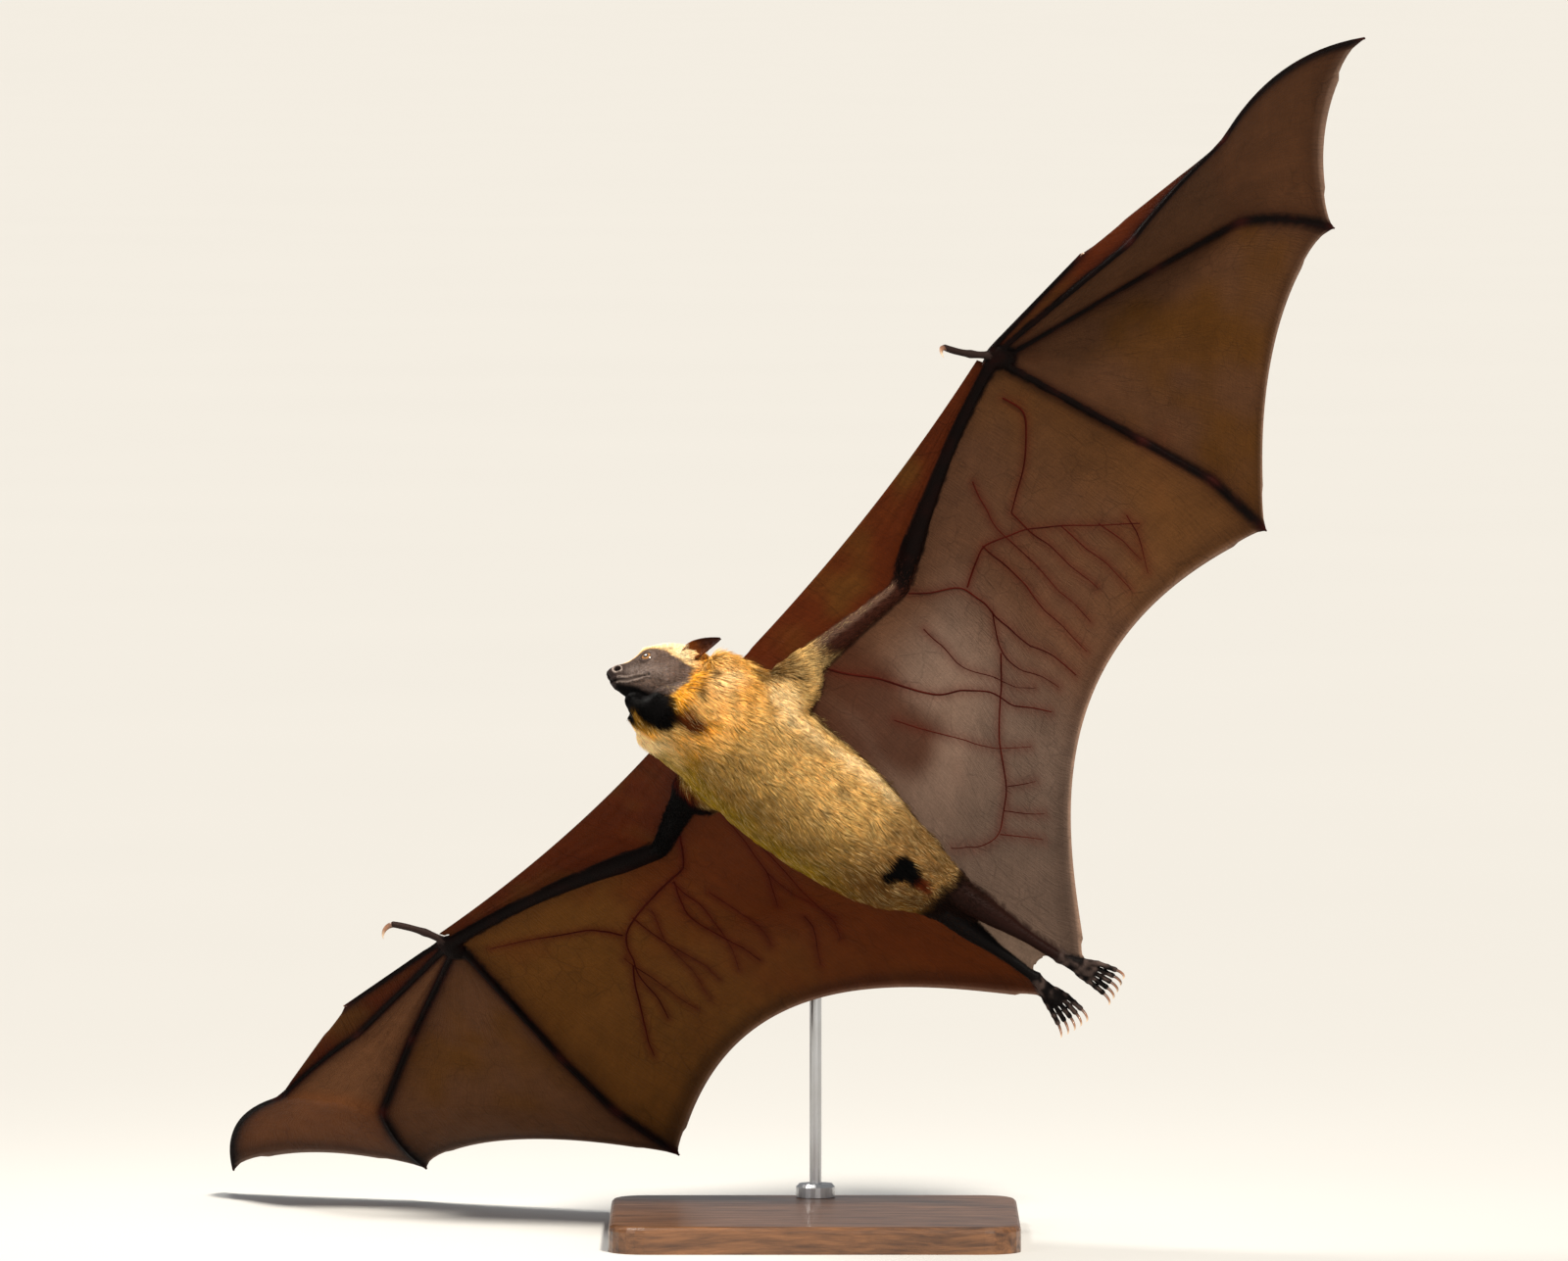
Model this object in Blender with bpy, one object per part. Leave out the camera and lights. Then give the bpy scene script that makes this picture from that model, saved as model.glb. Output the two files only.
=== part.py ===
"""A flying fox in level flight, life size, on a plain display stand.

The bat is posed bone by bone. Every bone has a length and, for each wing, two angles in the
bat's own frame: sweep, forward from straight out sideways, and raise, above the plane of the
body. The wing membranes are thin sheets stretched between those bones. Lengths are in
millimetres, and each mesh is scaled to metres as it is made. +Z is up, the bat faces -X, and
its underside is turned towards -Y, where it is looked at from.
"""

from collections import namedtuple
from math import cos, pi, radians, sin

import bmesh
import bpy
import numpy as np
from mathutils import Vector

METRES = 0.001
GAP = 0.35
SHEET = 0.7

# The bat's own frame: forward along the spine, left, and up out of its back.
CHEST = np.array((-33.0, -89.0, 331.5))
SPINE_FORWARD = (-0.733, -0.123, 0.668)
SPINE_LEFT = (0.655, -0.388, 0.648)

# Stations along the spine: forward of the chest, half width, half depth, sideways, up.
TRUNK_END = 30
TRUNK_STATIONS = (
    (-164, 6, 6, 7, 0),
    (-153, 18, 16, 4, 0),
    (-131, 29, 25, 0, 0),
    (-111, 35.5, 30, -4, 0),
    (-89, 41.5, 34, -5, 0),
    (-58, 46, 38, -7, 0),
    (-28, 47, 40, -9, 0),
    (2, 47.5, 41, -9, 0),
    (TRUNK_END, 48, 39, -8, 0),
)
NECK_STATIONS = (
    (TRUNK_END, 48, 39, -8, 0),
    (46, 46, 38, -10, -1),
    (61, 39, 35, -13.5, -5),
    (75, 20, 19, -25, -15),
    (82, 12, 12, -27, -20),
)

# The head's frame is turned to the bat's right and rolled. Its origin is between the nostrils.
NOSE = (105.6, -33.3, -6)
HEAD_FORWARD = (0.805, -0.558, -0.184)
HEAD_UP = (0.356, 0.327, 0.877)
# Stations behind the nose: distance back, top, bottom, half width.
HEAD_STATIONS = (
    (-1, 3, -3, 4),
    (3, 5.5, -10, 7),
    (11, 10, -16, 8.5),
    (19, 17, -21.5, 11),
    (26, 23.2, -25, 14.5),
    (34, 25.8, -27, 18),
    (43, 26.5, -27, 20.5),
    (53, 25.5, -26, 21),
    (62, 18, -20, 16),
    (67, 8, -11, 8),
)
EYE_CENTRE = (23.8, 9.8, 6.6)
EYE_RADIUS = 5.6
EAR_ROOT = (48.5, 15, 8)
# The ears are laid back, the left one further. Backwards, outwards, up.
EAR_DIRECTIONS = {"left": (-0.8, 0.3, 0.52), "right": (-0.62, 0.35, 0.7)}
EAR_LENGTH = 25.5
EAR_WIDTH = 14.5
EAR_SHELL = 1.2
EAR_CURL = 1.15

Bone = namedtuple("Bone", "length left right bow")
SHOULDERS = {"left": (23, 20, 0), "right": (18, -41.5, -3)}
HUMERUS = Bone(122, (-13, 36), (-18, 33), 0)
FOREARM = Bone(168, (22, 9), (17, 4.5), 5)
THUMB = Bone(40, (106, -38), (73, -16), 2)
# Each finger from the wrist out: its base along the forearm and towards the trailing side.
FINGER_BASES = {"index": (6, -3.5), "third": (7, 2.5), "fourth": (5, 8.5), "fifth": (-2, 12.5)}
FINGERS = {
    "index": (Bone(88, (1, 9), (8, 4), 0),),
    "third": (
        Bone(116, (-5, 4), (-4, 18), 0),
        Bone(91.5, (2, 10.5), (1, 14), 2),
        Bone(118, (-17, 37), (-14.5, 32), 14),
    ),
    "fourth": (
        Bone(113, (-21, 29.5), (-18.5, 27.5), 0),
        Bone(65.5, (-16, 7), (-22, 5), 0),
        Bone(67, (-62, 28), (-65, 27), 4),
    ),
    "fifth": (
        Bone(109, (-85, 19), (-75.5, 16), 0),
        Bone(54.5, (-78.5, 5.5), (-85, 4.5), 0),
        Bone(51, (-95, 9.5), (-100.5, -4.5), 0),
    ),
}
# Radii at the two ends of each finger.
FINGER_RADII = {"index": (1.7, 0.9), "third": (2.3, 0.9), "fourth": (2.0, 0.9), "fifth": (2.3, 0.9)}
KNUCKLE = 1.3
FINGER_STEPS = 4
# Radii along the upper arm, the forearm and the thumb, from the body outwards.
UPPER_ARM_RADII = (12, 11, 9.5, 8, 7)
FOREARM_RADII = (7, 8, 6.8, 5.6, 5, 4.6, 4.6)
THUMB_RADII = (3.4, 2.6, 2.4, 2.5, 2.2)
THUMB_CLAW_LENGTH = 15
THUMB_CLAW_RADIUS = 2.0
# The wrist: its centre from the forearm's end, and its half sizes, along the arm, towards the
# trailing side and through the wing.
WRIST_PLACE = (2.5, 4.5)
WRIST_SIZE = (8, 10.5, 4.6)
# How far each trailing edge hangs in from the line between its two ends, and where it is deepest.
SCALLOPS = {"tip": (17, 0.88), "middle": (22.4, 0.77), "side": (64, 1.12)}
BILLOW = 6
SHOULDER_EDGE_ROOT = (50, -12, 6)
SHOULDER_EDGE_ASIDE = 22
SHOULDER_EDGE_HOLLOW = 9
FLANK_HEIGHT = 8
FLANK_SHARE = 0.8

# The legs, in the spine's frame: hip, knee, ankle and the end of the sole.
LEGS = {
    "left": ((-128, 14, 4), (-165, 16, -2), (-237, 32, -7), (-257, 38, -5)),
    "right": ((-128, -12, 4), (-162, -1, 0), (-236, 9, -6), (-256, 5.5, -3)),
}
LEG_RADII = (13, 11.5, 8.5, 6, 3.8, 3.6)
FOOT_RADII = (4.2, 4.6, 6.4, 4.5)
FOOT_FLATNESS = 0.62
SOLE_HALF_WIDTH = 5.2
TOE_RADII = (1.9, 1.7, 1.5)
TOE_LENGTH = 18.5
TOE_FAN = (-12, -6, 0, 6, 12)
CLAW_LENGTH = 14.5
CLAW_RADIUS = 1.45
TAIL_WEB_HOLLOW = 14

BASE_LENGTH = 270
BASE_WIDTH = 240
BASE_THICKNESS = 18
BASE_CORNER = 24
BASE_ROUNDING = 4
ROD_RADIUS = 4
ROD_X = 1
ROD_BACK_Y = 100
ROD_TOP_Z = 309
ROD_END_Y = -52
ROD_BEND = 42
COLLAR_RADIUS = 13
COLLAR_HEIGHT = 9

SIDES = {"left": 1, "right": -1}


def unit(vector):
    vector = np.asarray(vector, float)
    return vector / np.linalg.norm(vector)


def frame_from(forward, left):
    """Rows forward, left and up, at right angles to each other."""
    forward = unit(forward)
    left = unit(left - forward * np.dot(left, forward))
    return np.array((forward, left, np.cross(forward, left)))


SPINE = frame_from(SPINE_FORWARD, np.array(SPINE_LEFT))
HEAD = frame_from(
    np.dot(HEAD_FORWARD, SPINE),
    np.cross(np.dot(HEAD_UP, SPINE), np.dot(HEAD_FORWARD, SPINE)),
)


def on_body(forward, left, up):
    return CHEST + np.dot((forward, left, up), SPINE)


def on_head(back, left, up):
    return on_body(*NOSE) + np.dot((-back, left, up), HEAD)


def outward(side, sweep, rise):
    """The direction of a bone, and the direction of its leading side."""
    sweep = radians(sweep)
    rise = radians(rise)
    along = (cos(rise) * sin(sweep), side * cos(rise) * cos(sweep), sin(rise))
    leading = (cos(rise) * cos(sweep), -side * cos(rise) * sin(sweep), 0)
    return np.dot(along, SPINE), unit(np.dot(leading, SPINE))


def bone_points(start, bone, side_name, steps):
    """Points along one bone, which bows towards its leading side."""
    along, leading = outward(SIDES[side_name], *getattr(bone, side_name))
    t = np.linspace(0, 1, steps + 1)[:, None]
    return start + along * bone.length * t + leading * bone.bow * 4 * t * (1 - t)


# ---------------------------------------------------------------- materials and meshes

LOOKS = {
    "fur_gold": ((0.52, 0.30, 0.09, 1), 0.9, 0),
    "face_skin": ((0.07, 0.055, 0.05, 1), 0.6, 0),
    "ear_skin": ((0.05, 0.025, 0.018, 1), 0.6, 0),
    "eye_amber": ((0.10, 0.035, 0.01, 1), 0.1, 0),
    "arm_skin": ((0.10, 0.035, 0.022, 1), 0.55, 0),
    "membrane": ((0.16, 0.085, 0.055, 1), 0.5, 0),
    "leg_skin": ((0.03, 0.02, 0.018, 1), 0.5, 0),
    "stand_wood": ((0.09, 0.045, 0.022, 1), 0.4, 0),
    "stand_steel": ((0.6, 0.6, 0.62, 1), 0.3, 1),
}


def material(name):
    colour, roughness, metallic = LOOKS[name]
    found = bpy.data.materials.get(name) or bpy.data.materials.new(name)
    found.use_nodes = True
    shader = found.node_tree.nodes["Principled BSDF"]
    shader.inputs["Base Color"].default_value = colour
    shader.inputs["Roughness"].default_value = roughness
    shader.inputs["Metallic"].default_value = metallic
    found.diffuse_color = colour
    return found


def make_object(name, points, faces, look):
    """One closed object from points in millimetres, with its faces turned outwards."""
    mesh = bpy.data.meshes.new(name)
    mesh.from_pydata([tuple(p) for p in np.asarray(points) * METRES], [], faces)
    shape = bmesh.new()
    shape.from_mesh(mesh)
    bmesh.ops.triangulate(shape, faces=[f for f in shape.faces if len(f.verts) > 4])
    bmesh.ops.recalc_face_normals(shape, faces=shape.faces)
    if shape.calc_volume(signed=True) < 0:
        bmesh.ops.reverse_faces(shape, faces=shape.faces)
    shape.to_mesh(mesh)
    shape.free()
    mesh.shade_smooth()
    mesh.set_sharp_from_angle(angle=radians(50))
    mesh.materials.append(material(look))
    made = bpy.data.objects.new(name, mesh)
    bpy.context.scene.collection.objects.link(made)
    return made


def loft(rings):
    """Points and faces of a closed body through rings that hold the same number of points."""
    around = len(rings[0])
    points = np.concatenate(rings)
    faces = []
    for ring in range(len(rings) - 1):
        for i in range(around):
            j = (i + 1) % around
            low = ring * around
            high = low + around
            faces.append((low + i, low + j, high + j, high + i))
    last = (len(rings) - 1) * around
    faces.append(tuple(range(around))[::-1])
    faces.append(tuple(range(last, last + around)))
    return points, faces


def ellipse(centre, across, upward, half_width, half_height, count):
    angle = np.arange(count)[:, None] * 2 * pi / count
    return centre + across * half_width * np.cos(angle) + upward * half_height * np.sin(angle)


def tube(path, radii, count, flatten=1.0, flat_along=None):
    """Rings round a path. flatten squashes the rings along flat_along."""
    path = np.asarray(path, float)
    steps = np.diff(path, axis=0)
    steps /= np.linalg.norm(steps, axis=1)[:, None]
    tangents = np.vstack([steps[:1], steps[:-1] + steps[1:], steps[-1:]])
    tangents /= np.linalg.norm(tangents, axis=1)[:, None]
    upward = SPINE[2] if flat_along is None else flat_along
    rings = []
    for centre, tangent, radius in zip(path, tangents, radii):
        upward = unit(upward - tangent * np.dot(upward, tangent))
        across = np.cross(tangent, upward)
        rings.append(ellipse(centre, across, upward, radius, radius * flatten, count))
    return rings


def rounded(rings, radius):
    """The rings, with a smaller one past the last so that the end is rounded."""
    centre = rings[-1].mean(axis=0)
    ahead = unit(centre - rings[-2].mean(axis=0))
    return rings + [centre + ahead * radius * 0.6 + (rings[-1] - centre) * 0.55]


def sheet(grid, thickness=SHEET):
    """Points and faces of a thin closed sheet whose middle surface is a grid of points."""
    along, across = np.gradient(grid, axis=0), np.gradient(grid, axis=1)
    normals = np.cross(along, across)
    normals /= np.maximum(np.linalg.norm(normals, axis=2), 1e-9)[:, :, None]
    rows, columns = grid.shape[:2]
    half = normals * thickness / 2
    points = np.concatenate([(grid + half).reshape(-1, 3), (grid - half).reshape(-1, 3)])
    under = rows * columns
    faces = []
    for r in range(rows - 1):
        for c in range(columns - 1):
            a = r * columns + c
            d = a + columns
            # Both sides are split the same way, or a twisted sheet would pass through itself.
            for triangle in ((a, a + 1, d + 1), (a, d + 1, d)):
                faces.append(triangle)
                faces.append(tuple(p + under for p in reversed(triangle)))
    rim = [(0, c) for c in range(columns)]
    rim += [(r, columns - 1) for r in range(1, rows)]
    rim += [(rows - 1, c) for c in range(columns - 2, -1, -1)]
    rim += [(r, 0) for r in range(rows - 2, 0, -1)]
    rim = [r * columns + c for r, c in rim]
    for a, b in zip(rim, rim[1:] + rim[:1]):
        faces.append((a, b, b + under, a + under))
    return points, faces


def helper(source, name, grow):
    """A hidden copy of an object, grown along its normals, for a Boolean to use."""
    mesh = source.data.copy()
    normals = [Vector(vertex.normal) for vertex in mesh.vertices]
    for vertex, normal in zip(mesh.vertices, normals):
        vertex.co += normal * grow * METRES
    made = bpy.data.objects.new(name, mesh)
    made.hide_render = True
    made.display_type = "WIRE"
    bpy.context.scene.collection.objects.link(made)
    return made


def add_boolean(target, other, operation, solver="EXACT"):
    boolean = target.modifiers.new(other.name, "BOOLEAN")
    boolean.object = other
    boolean.operation = operation
    boolean.solver = solver


def make_room(target, *neighbours, solver="EXACT"):
    """Cuts each neighbour's shape, and the gap round it, out of the target."""
    for neighbour in neighbours:
        name = f"{neighbour.name}_clearance"
        cutter = bpy.data.objects.get(name) or helper(neighbour, name, GAP)
        add_boolean(target, cutter, "DIFFERENCE", solver)


def join_to(target, pieces):
    """Unites the pieces with the target, and hides them."""
    for piece in pieces:
        piece.hide_render = True
        piece.display_type = "WIRE"
        add_boolean(target, piece, "UNION")


# ---------------------------------------------------------------- body and head


def body_rings(stations, count=24):
    _, left, up = SPINE
    return [
        ellipse(on_body(f, sideways, rise), left, up, half_width, half_depth, count)
        for f, half_width, half_depth, sideways, rise in stations
    ]


def make_trunk():
    rings = body_rings(TRUNK_STATIONS)
    rings[-1] = rings[-1] - SPINE[0] * GAP
    return make_object("trunk", *loft(rings), "fur_gold")


def make_neck():
    return make_object("neck", *loft(body_rings(NECK_STATIONS)), "fur_gold")


def make_head():
    _, left, up = HEAD
    rings = []
    for back, top, bottom, half_width in HEAD_STATIONS:
        centre = on_head(back, 0, (top + bottom) / 2)
        rings.append(ellipse(centre, left, up, half_width, (top - bottom) / 2, 18))
    return make_object("head", *loft(rings), "face_skin")


def make_eye(side_name):
    back, left, up = EYE_CENTRE
    centre = on_head(back, left * SIDES[side_name], up)
    polar = np.linspace(0.15, pi - 0.15, 7)
    rings = [
        ellipse(
            centre + HEAD[0] * EYE_RADIUS * cos(p), HEAD[1], HEAD[2], EYE_RADIUS * sin(p),
            EYE_RADIUS * sin(p), 10,
        )
        for p in polar
    ]
    return make_object(f"eye_{side_name}", *loft(rings), "eye_amber")


def ear_width(t):
    """Width of the ear's shell along its length: widest low down, and pointed."""
    return EAR_WIDTH * (0.55 + 0.45 * sin(pi * min(1, t / 0.45) / 2)) * (1 - t**2.2) + 1.5


def make_ear(side_name):
    side = SIDES[side_name]
    back, left, up = EAR_ROOT
    root = on_head(back, left * side, up)
    ahead, aside, rise = EAR_DIRECTIONS[side_name]
    axis = unit(np.dot((ahead, aside * side, rise), HEAD))
    outer = unit(np.cross(axis, np.cross(HEAD[1] * side + HEAD[0] * 0.5, axis)))
    across = np.cross(axis, outer)
    grid = []
    for t in np.linspace(0, 1, 9):
        half = ear_width(t) / 2
        centre = root + axis * EAR_LENGTH * t
        row = [
            centre + across * half * sin(a) / sin(EAR_CURL) + outer * half * (1 - cos(a))
            for a in np.linspace(-EAR_CURL, EAR_CURL, 7)
        ]
        grid.append(row)
    return make_object(f"ear_{side_name}", *sheet(np.array(grid), EAR_SHELL), "ear_skin")


# ---------------------------------------------------------------- wings


class Wing:
    """The joints and curves of one wing."""

    def __init__(self, side_name):
        self.name = side_name
        self.side = SIDES[side_name]
        self.shoulder = on_body(*SHOULDERS[side_name])
        self.upper = bone_points(self.shoulder, HUMERUS, side_name, 4)
        self.elbow = self.upper[-1]
        self.fore = bone_points(self.elbow, FOREARM, side_name, 6)
        self.wrist = self.fore[-1]
        along, _ = outward(self.side, *getattr(FOREARM, side_name))
        trailing, _ = outward(self.side, *getattr(FINGERS["fifth"][0], side_name))
        self.along = along
        self.trailing = unit(trailing - along * np.dot(trailing, along))
        self.normal = unit(np.cross(self.along, self.trailing)) * self.side
        self.fingers = {name: self.finger(name) for name in FINGERS}
        self.thumb = bone_points(self.wrist + along * 3, THUMB, side_name, 4)

    def finger(self, name, steps=FINGER_STEPS):
        """Points from the wrist to the tip, with the same number along each bone."""
        distal, trailing = FINGER_BASES[name]
        start = self.wrist + self.along * distal + self.trailing * trailing
        pieces = []
        for bone in FINGERS[name]:
            points = bone_points(start, bone, self.name, steps)
            start = points[-1]
            pieces.append(points if not pieces else points[1:])
        return np.concatenate(pieces)


def make_upper_arm(wing):
    rings = tube(wing.upper, UPPER_ARM_RADII, 12)
    return make_object(f"{wing.name}_upper_arm", *loft(rings), "arm_skin")


def make_forearm(wing):
    rings = tube(wing.fore, FOREARM_RADII, 12)
    return make_object(f"{wing.name}_forearm", *loft(rings), "arm_skin")


def make_wrist(wing):
    centre = wing.wrist + wing.along * WRIST_PLACE[0] + wing.trailing * WRIST_PLACE[1]
    long, wide, deep = WRIST_SIZE
    rings = [
        ellipse(
            centre + wing.trailing * wide * cos(p), wing.along, wing.normal, long * sin(p),
            deep * sin(p), 12,
        )
        for p in np.linspace(0.3, pi - 0.3, 7)
    ]
    return make_object(f"{wing.name}_wrist", *loft(rings), "arm_skin")


def make_finger(wing, name):
    path = wing.fingers[name]
    first, last = FINGER_RADII[name]
    radii = []
    for i in range(len(path)):
        radius = first + (last - first) * i / (len(path) - 1)
        knuckle = i % FINGER_STEPS == 0 and 0 < i < len(path) - 1
        radii.append(radius * (KNUCKLE if knuckle else 1))
    rings = rounded(tube(path, radii, 6), last)
    return make_object(f"{wing.name}_{name}_finger", *loft(rings), "arm_skin")


def claw_rings(root, ahead, down, length, radius, count=5, turn=115):
    """Rings of a claw that starts along ahead and curls towards down."""
    steps = 5
    bend = length / radians(turn)
    path = [
        root + ahead * bend * sin(radians(turn) * t) + down * bend * (1 - cos(radians(turn) * t))
        for t in np.linspace(0, 1, steps)
    ]
    radii = [radius * (1 - 0.82 * t) for t in np.linspace(0, 1, steps)]
    return tube(path, radii, count)


def make_thumb(wing):
    rings = tube(wing.thumb, THUMB_RADII, 8)
    thumb = make_object(f"{wing.name}_thumb", *loft(rings), "arm_skin")
    ahead = unit(wing.thumb[-1] - wing.thumb[-2])
    down = unit(ahead * np.dot(SPINE[0], ahead) - SPINE[0])
    root = wing.thumb[-1] - ahead * THUMB_CLAW_RADIUS
    hook = claw_rings(root, ahead, down, THUMB_CLAW_LENGTH, THUMB_CLAW_RADIUS)
    join_to(thumb, [make_object(f"{wing.name}_thumb_claw", *loft(hook), "leg_skin")])
    return thumb


def scalloped(start, end, inward, name, t):
    """A point on a trailing edge: the line from start to end, hanging in towards inward."""
    depth, skew = SCALLOPS[name]
    line = start + (end - start) * t
    return line + inward * depth * 4 * t**skew * (1 - t**skew)


def inward_of(start, end, middle):
    """At right angles to the line from start to end, towards a point inside the wing."""
    line = unit(end - start)
    to_middle = middle - start
    return unit(to_middle - line * np.dot(to_middle, line))


def make_finger_membrane(wing, label, first, second, columns):
    """The sheet between two fingers, with a trailing edge that hangs in between their tips."""
    a, b = wing.fingers[first], wing.fingers[second]
    inward = inward_of(a[-1], b[-1], (a[0] + b[0]) / 2)
    last = len(a) - 1
    grid = []
    for i in range(len(a)):
        reach = (i / last) ** 3
        row = []
        for s in np.linspace(0, 1, columns + 1):
            line = a[i] + (b[i] - a[i]) * s
            edge = scalloped(a[-1], b[-1], inward, label, s) - (a[-1] + (b[-1] - a[-1]) * s)
            row.append(line + edge * reach)
        grid.append(row)
    return make_object(f"{wing.name}_{label}_membrane", *sheet(np.array(grid)), "membrane")


def make_index_membrane(wing):
    """The strip in front of the third finger: behind the index, then tapering to its joint."""
    index = wing.fingers["index"]
    bone_steps = len(index) - 1
    third = wing.fingers["third"][: 2 * bone_steps + 1]
    shares = np.linspace(0, 1, bone_steps + 1)[1:, None]
    edge = np.concatenate([index, index[-1] + (third[-1] - index[-1]) * shares])
    grid = [[a + (b - a) * s for s in np.linspace(0, 1, 3)] for a, b in zip(edge[1:-1], third[1:-1])]
    grid.append([edge[-1] + (third[-2] - edge[-1]) * s for s in (0.05, 0.1, 0.15)])
    return make_object(f"{wing.name}_index_membrane", *sheet(np.array(grid)), "membrane")


def along_path(path, t):
    """The point a share t of the way along a path."""
    lengths = np.concatenate([[0], np.cumsum(np.linalg.norm(np.diff(path, axis=0), axis=1))])
    at = t * lengths[-1]
    return np.array([np.interp(at, lengths, path[:, axis]) for axis in range(3)])


def make_shoulder_membrane(wing):
    """The sheet in front of the arm, from the neck to the root of the thumb."""
    arm = np.concatenate([wing.upper, wing.fore[1:]])
    forward, left, up = SHOULDER_EDGE_ROOT
    root = on_body(forward, left + wing.side * SHOULDER_EDGE_ASIDE, up)
    end = wing.thumb[1]
    inward = inward_of(root, end, wing.elbow)
    grid = []
    for t in np.linspace(0, 0.985, 11):
        edge = root + (end - root) * t + inward * SHOULDER_EDGE_HOLLOW * 4 * t * (1 - t)
        inner = along_path(arm, t)
        grid.append([edge + (inner - edge) * s for s in np.linspace(0, 1, 4)])
    return make_object(f"{wing.name}_shoulder_membrane", *sheet(np.array(grid)), "membrane")


def make_side_membrane(wing, leg):
    """The sheet between arm, fifth finger, trailing edge, leg and flank, as a blended patch."""
    fifth = wing.fingers["fifth"]
    arm = np.concatenate([wing.upper, wing.fore[1:], fifth[:1]])
    flank = [on_body(forward, left, FLANK_HEIGHT) for forward, left in side_line(wing)]
    corner = leg[3] * 0.75 + leg[2] * 0.25 + SPINE[1] * wing.side * 4
    body = np.array([wing.shoulder] + flank + [leg[1], leg[2], corner])
    tip = fifth[-1]
    inward = inward_of(corner, tip, wing.elbow)
    columns, rows = 11, 8
    grid = np.zeros((rows + 1, columns + 1, 3))
    for r in range(rows + 1):
        v = r / rows
        for c in range(columns + 1):
            u = c / columns
            top, low = along_path(arm, u), scalloped(corner, tip, inward, "side", u)
            near, far = along_path(body, v), along_path(fifth, v)
            corners = (1 - u) * ((1 - v) * arm[0] + v * corner) + u * ((1 - v) * arm[-1] + v * tip)
            patch = (1 - v) * top + v * low + (1 - u) * near + u * far - corners
            grid[r, c] = patch + SPINE[2] * BILLOW * 16 * u * (1 - u) * v * (1 - v)
    return make_object(f"{wing.name}_side_membrane", *sheet(grid), "membrane")


def side_line(wing):
    """Where the wing joins the flank, just inside the trunk's surface."""
    for f, half_width, _, sideways, _ in reversed(TRUNK_STATIONS[2:-2]):
        yield f, sideways + wing.side * half_width * FLANK_SHARE


# ---------------------------------------------------------------- legs and stand


def leg_joints(side_name):
    return np.array([on_body(*joint) for joint in LEGS[side_name]])


def make_leg(side_name, joints):
    hip, knee, ankle, _ = joints
    path = [hip, (hip + knee) / 2, knee, knee * 0.66 + ankle * 0.34, knee * 0.2 + ankle * 0.8, ankle]
    return make_object(f"{side_name}_leg", *loft(tube(path, LEG_RADII, 12)), "leg_skin")


def make_foot(side_name, joints):
    ankle, sole_end = joints[2], joints[3]
    ahead = unit(sole_end - ankle)
    down = -unit(SPINE[2] - ahead * np.dot(SPINE[2], ahead))
    across = np.cross(ahead, down)
    path = [ankle - ahead, ankle + ahead * 8, sole_end - ahead * 3, sole_end + ahead * 2]
    rings = tube(path, FOOT_RADII, 8, FOOT_FLATNESS, down)
    foot = make_object(f"{side_name}_foot", *loft(rings), "leg_skin")
    pieces = []
    for number, fan in enumerate(TOE_FAN):
        out = ahead * cos(radians(fan)) + across * sin(radians(fan))
        root = sole_end - ahead * 3 + across * SOLE_HALF_WIDTH * fan / TOE_FAN[-1]
        tip = root + out * TOE_LENGTH + down * 1.5
        toe_path = [root, (root + tip) / 2 - down * 1.2, tip]
        rings = tube(toe_path, TOE_RADII, 5)
        hook = claw_rings(tip - out, out, down, CLAW_LENGTH, CLAW_RADIUS)
        toe = make_object(f"{side_name}_toe_{number}", *loft(rings), "leg_skin")
        claw = make_object(f"{side_name}_claw_{number}", *loft(hook), "leg_skin")
        pieces += [toe, claw]
    join_to(foot, pieces)
    return foot


def make_tail_membrane(left_leg, right_leg):
    """The narrow web between the legs, cut in deeply between the ankles."""
    grid = []
    for v in np.linspace(0, 1, 6):
        left = along_path(left_leg[:3], v)
        right = along_path(right_leg[:3], v)
        hollow = SPINE[0] * TAIL_WEB_HOLLOW * v**3
        grid.append(
            [left + (right - left) * s + hollow * 4 * s * (1 - s) for s in np.linspace(0, 1, 5)]
        )
    return make_object("tail_membrane", *sheet(np.array(grid)), "membrane")


def rod_path():
    """Up from the base, round one bend, and forward into the bat's back."""
    turn = [
        (
            ROD_X,
            ROD_BACK_Y - ROD_BEND * (1 - cos(a)),
            ROD_TOP_Z - ROD_BEND * (1 - sin(a)),
        )
        for a in np.linspace(0, pi / 2, 9)
    ]
    foot = (ROD_X, ROD_BACK_Y, BASE_THICKNESS + GAP)
    return np.array([foot] + turn + [(ROD_X, ROD_END_Y, ROD_TOP_Z)], float)


def make_rod():
    path = rod_path()
    rings = tube(path, [ROD_RADIUS] * len(path), 16, 1.0, np.array((1.0, 0, 0)))
    return make_object("stand_rod", *loft(rings), "stand_steel")


def round_off(shape, edges, radius, segments):
    offset = radius * METRES
    bmesh.ops.bevel(shape, geom=edges, offset=offset, segments=segments, affect="EDGES", profile=0.5)


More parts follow.
